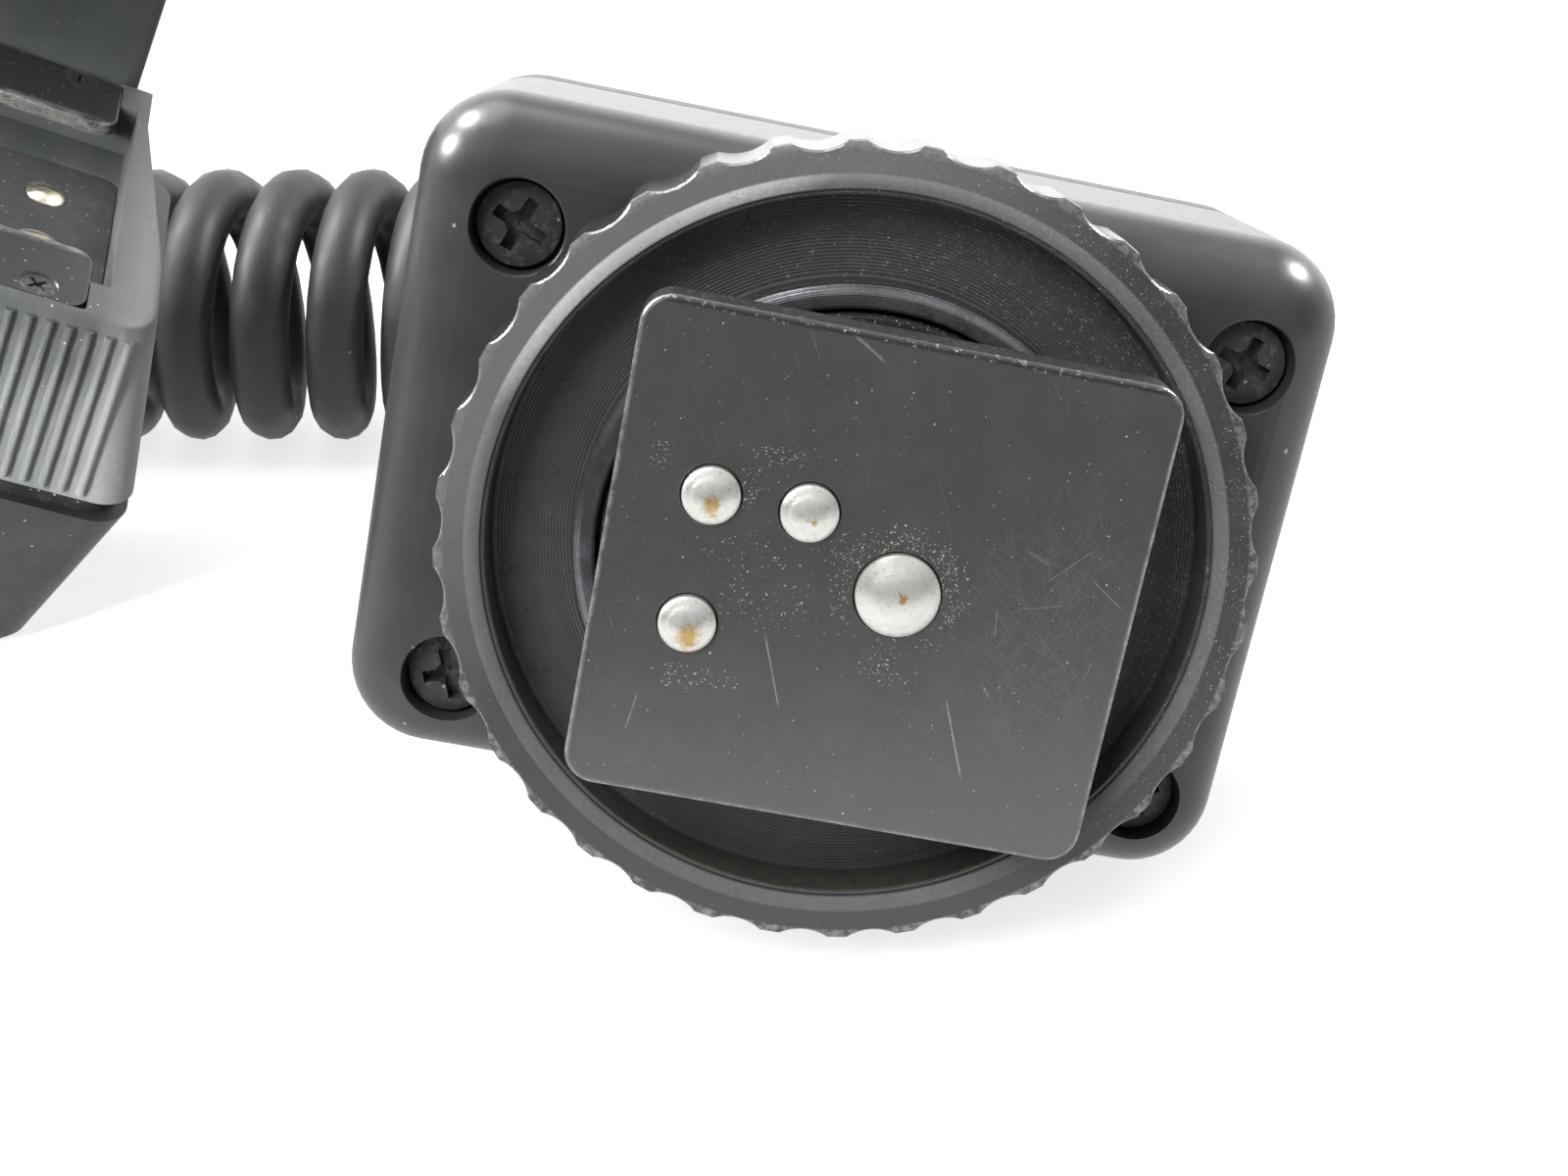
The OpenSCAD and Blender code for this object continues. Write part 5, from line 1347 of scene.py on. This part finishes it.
# ---------------------------------------------------------------------------
# Shoe insulator and contacts: a black phenolic tongue let into the shoe's
# floor, with four plated brass studs that meet the flash's pins.
tongue_l, tongue_w, tongue_r = 18.96, 12.36, 0.98
contact_at = {"centre": (-1.1, 0), "a": (6.25, 2.45), "b": (2.65, 2.45), "c": (6.25, -2.45)}
shape = bmesh.new()
skinned(shape, [rounded(tongue_l - less, tongue_w - less, tongue_r - less / 2, z, tongue_mid)
                for less, z in ((0, -shoe_floor), (0, -0.08), (0.1, -0.02), (0.26, 0))])
tongue = cast("shoe_tongue", shape)
worked(tongue, box_of((tongue_mid[0] - 8.5, tongue_mid[0] + 8.5), (-5.2, 5.2), (-2.98, -shoe_floor + 0.1), 1),
       "UNION")
for key, spot in contact_at.items():
    r = 2.02 if key == "centre" else 1.09
    worked(tongue, bored([spot], (0, -3.2), (0.42, -3.2), (0.42, -1.6), (r, -1.6), (r, -0.1), (r + 0.12, 0.02),
                         (r + 0.12, 0.5), (0, 0.5), steps=64))
tongue_black = Finish("tongue_black", (0.030, 0.031, 0.032), 0.48)
where = tongue_black.own(block_place)
tongue_black.tint(tongue_black.patches(where, 0.8, 5, 0.42, 0.7, rough=0.65), (0.050, 0.050, 0.050))
lengthways = tongue_black.noise(tongue_black.own(block_place, stretch=(0.15, 5, 1)), 2.0, 3, 0.5)
tongue_black.tint(tongue_black.ramp(lengthways, 0.58, 0.72, 0.0, 0.5), (0.075, 0.077, 0.075))
tongue_black.dust(where, 0.25, 0.07, 0.2, (0.32, 0.30, 0.26))
tongue_black.bump(lengthways, 0.008, 0.6)
laid(tongue, block_place, tongue_black, "cord_and_ends", "insulator", "shoe_block")

for key, spot in contact_at.items():
    r = 2.0 if key == "centre" else 1.07
    up = 0.3
    bulge = (r * r + up * up) / (2 * up)
    profile = [(0, -2.96), (0.38, -2.96), (0.4, -2.9), (0.4, -1.58), (r, -1.58), (r, -0.06)]
    profile += [(r * (1 - 0.03 - k / 10), up - bulge + math.sqrt(bulge ** 2 - (r * (1 - 0.03 - k / 10)) ** 2))
                for k in range(9)] + [(0, up)]
    shape = bmesh.new()
    turned(shape, profile, 56, spot)
    plated = Finish(f"contact_{key}_plate", (0.78, 0.75, 0.68), 0.24, 1.0)
    where = plated.own(block_place, at=(*spot, 0))
    x, y, z = plated.axes(where)
    rub = plated.noise(plated.own(block_place, at=(*spot, 0), stretch=(0.3, 3, 1)), 2.4, 4, 0.6)
    plated.tint(plated.ramp(rub, 0.45, 0.65, 0.0, 0.7), (0.60, 0.46, 0.22))
    plated.shine("Roughness", plated.ramp(rub, 0.4, 0.65), 0.42)
    plated.bump(rub, 0.008, 0.6)
    node = "centre_contact" if key == "centre" else f"signal_contact_{key}"
    laid(cast(f"{node}_stud", shape), block_place, plated, "cord_and_ends", "brass", node, sharp=50)


# ---------------------------------------------------------------------------
# Seam gasket: a black rubber frame between the block's two halves, set in a
# little so that it shows as a dark line, and notched round the screw bosses.
base_top = -8.2
gasket_out = (29.8, 26.8)
gasket_in = (25.8, 22.8)
shape = bmesh.new()
skinned(shape, [rounded(*size, r, z, block_mid) for size, r, z in (
    (gasket_out, 2, base_top + 0.02), (gasket_out, 2, seam_z - 0.02), (gasket_in, 1, seam_z - 0.02),
    (gasket_in, 1, base_top + 0.02))], ring=True)
gasket = cast("gasket_frame", shape)
worked(gasket, bored(at_base_screws, (0, base_top - 1), (2.4, base_top - 1), (2.4, seam_z + 1), (0, seam_z + 1),
                     steps=48))
gasket_black = Finish("gasket_black", (0.012, 0.012, 0.012), 0.7, Specular_IOR_Level=0.3)
where = gasket_black.own(block_place)
gasket_black.tint(gasket_black.patches(where, 1.5, 4, 0.45, 0.7), (0.024, 0.024, 0.024))
gasket_black.dust(where, 0.2, 0.06, 0.2, (0.26, 0.24, 0.20))
gasket_black.bump(gasket_black.noise(where, 8, 3), 0.02, 0.6)
laid(gasket, block_place, gasket_black, "cord_and_ends", "boot_rubber", "seam_gasket")


# ---------------------------------------------------------------------------
# Flash block, base: the lower half of the case, tapered, in a smoother black,
# with a collar for the cord's boot and four deep wells for the case screws.
base_z = -21.4
base_draft = 3
well_r = 1.55
well_z = base_z + 6.6
shape = bmesh.new()
skinned(shape, drafted(base_top, base_z, base_draft, 0.7))
base = cast("base_half", shape)
worked(base, box_of((block_mid[0] - 10.5, block_mid[0] + 10.5), (-9, 9), (base_z + 5, base_top + 1), 1))
worked(base, bored(at_base_screws, (0, base_top - 2), (boss_r, base_top - 2), (boss_r, seam_z - 0.02),
                   (0, seam_z - 0.02), steps=48), "UNION")
collar = bored([(0, 0)], (0, 0), (4.1, 0), (4.4, 0.06), (4.5, 0.25), (4.5, 4.8), (0, 4.8), steps=64)
collar.data.transform(along_x)
worked(base, collar, "UNION")
worked(base, bored(at_base_screws, (0, base_z - 1), (1.75, base_z - 1), (1.75, base_z), (well_r, base_z + 0.15),
                   (well_r, well_z), (0.85, well_z), (0.85, seam_z + 0.5), (0, seam_z + 0.5), steps=48))
worked(base, bored([block_mid], (0, base_z - 1), (8.2, base_z - 1), (8.2, base_z), (8.02, base_z + 0.12),
                   (8.02, base_z + 1.2), (4.62, base_z + 1.2), (4.62, base_top), (0, base_top), steps=96))
outlet = bored([(0, 0)], (0, -1), (outlet_r, -1), (outlet_r, 6), (0, 6), steps=48)
outlet.data.transform(along_x)
worked(base, outlet)
base_black = Finish("base_black", (0.014, 0.015, 0.015), 0.40)
where = base_black.own(block_place)
base_black.tint(base_black.patches(where, 0.4, 5, 0.42, 0.72, rough=0.6), (0.022, 0.023, 0.023))
base_black.shine("Roughness", base_black.patches(where, 2.4, 5, 0.35, 0.7, rough=0.6), 0.54)
base_black.dust(where, 0.4, 0.08, 0.12, (0.28, 0.27, 0.24))
base_black.bump(base_black.noise(where, 9, 3), 0.02, 0.6)
laid(base, block_place, base_black, "cord_and_ends", "base_black", "base_cover")

case_black = Finish("case_screw_black", (0.018, 0.018, 0.019), 0.38, Specular_IOR_Level=0.6)
where = case_black.own(block_place)
case_black.tint(case_black.patches(where, 3, 5, 0.5, 0.7, rough=0.65), (0.08, 0.08, 0.078))
case_black.bump(case_black.noise(where, 12, 3), 0.01, 0.6)
case_screws = cross_screws.made("case_screws", Head_Radius=1.5, Head_Height=1.0, Crown=0.12, Shank_Radius=0.8,
                                Shank_Length=11.1, Slot_Span=2.0, Slot_Width=0.4, Slot_Depth=0.5,
                                Apart_X=2 * base_screw_at[0], Apart_Y=2 * base_screw_at[1], First_Turn=0.2,
                                Finish=case_black.material)
case_screws.data.transform(Matrix.Translation((block_mid[0], 0, 0)) @ upside_down(well_z))
laid(case_screws, block_place, case_black, "cord_and_ends", "screw_black", "base_screws")


# ---------------------------------------------------------------------------
# Tripod bush and plate: a plated brass insert with a quarter-inch thread, and
# the turned steel washer round it that takes the tripod's face.
bush = bored([block_mid], (0, base_z + 1.22), (4.45, base_z + 1.22), (4.6, base_z + 1.37), (4.6, base_z + 5.02),
             (5.9, base_z + 5.02), (6, base_z + 5.12), (6, base_z + 6.9), (5.9, base_z + 7), (0, base_z + 7),
             steps=64)
tap_pitch, tap_r, tap_depth = 1.27, 2.9, 0.3
tap_sides = 64
shape = bmesh.new()
rows = []
for k in range(61):
    z = base_z + 0.6 + 0.09 * k
    row = []
    for i in range(tap_sides):
        a = 2 * math.pi * i / tap_sides
        r = tap_r + tap_depth * abs(2 * ((z / tap_pitch + i / tap_sides) % 1) - 1)
        row.append((block_mid[0] + r * math.cos(a), r * math.sin(a), z))
    rows.append(row)
skinned(shape, rows)
worked(bush, cast("tap", shape))
brass = Finish("bush_brass", (0.66, 0.63, 0.56), 0.28, 1.0)
where = brass.own(block_place)
brass.tint(brass.patches(where, 1.6, 5, 0.45, 0.68, 0.0, 0.8, rough=0.65), (0.60, 0.47, 0.25))
brass.shine("Roughness", brass.patches(where, 4, 4, 0.4, 0.7), 0.45)
brass.bump(brass.noise(where, 14, 3), 0.008, 0.6)
bush.name = "threaded_bush"
laid(bush, block_place, brass, "cord_and_ends", "brass", "tripod_bush", sharp=40)

washer = bored([block_mid], (3.3, base_z + 0.25), (3.55, base_z), (6.9, base_z), (7.0, base_z + 0.12),
               (7.2, base_z + 0.12), (7.3, base_z), (7.85, base_z), (8, base_z + 0.15), (8, base_z + 1.2),
               (3.3, base_z + 1.2), steps=128)
washer.name = "tripod_washer"
turned_steel = Finish("turned_steel", (0.42, 0.42, 0.43), 0.32, 1.0)
where = turned_steel.own(block_place, at=(*block_mid, 0))
x, y, z = turned_steel.axes(where)
rings = turned_steel.sum("SINE", turned_steel.times(turned_steel.across(x, y), 2 * math.pi / 0.12))
turned_steel.tint(turned_steel.patches(where, 1.2, 5, 0.42, 0.7, rough=0.65), (0.26, 0.26, 0.26))
turned_steel.shine("Roughness", turned_steel.patches(where, 4, 4, 0.4, 0.7), 0.46)
turned_steel.bump(rings, 0.008, 0.7)
laid(washer, block_place, turned_steel, "cord_and_ends", "steel", "tripod_plate")
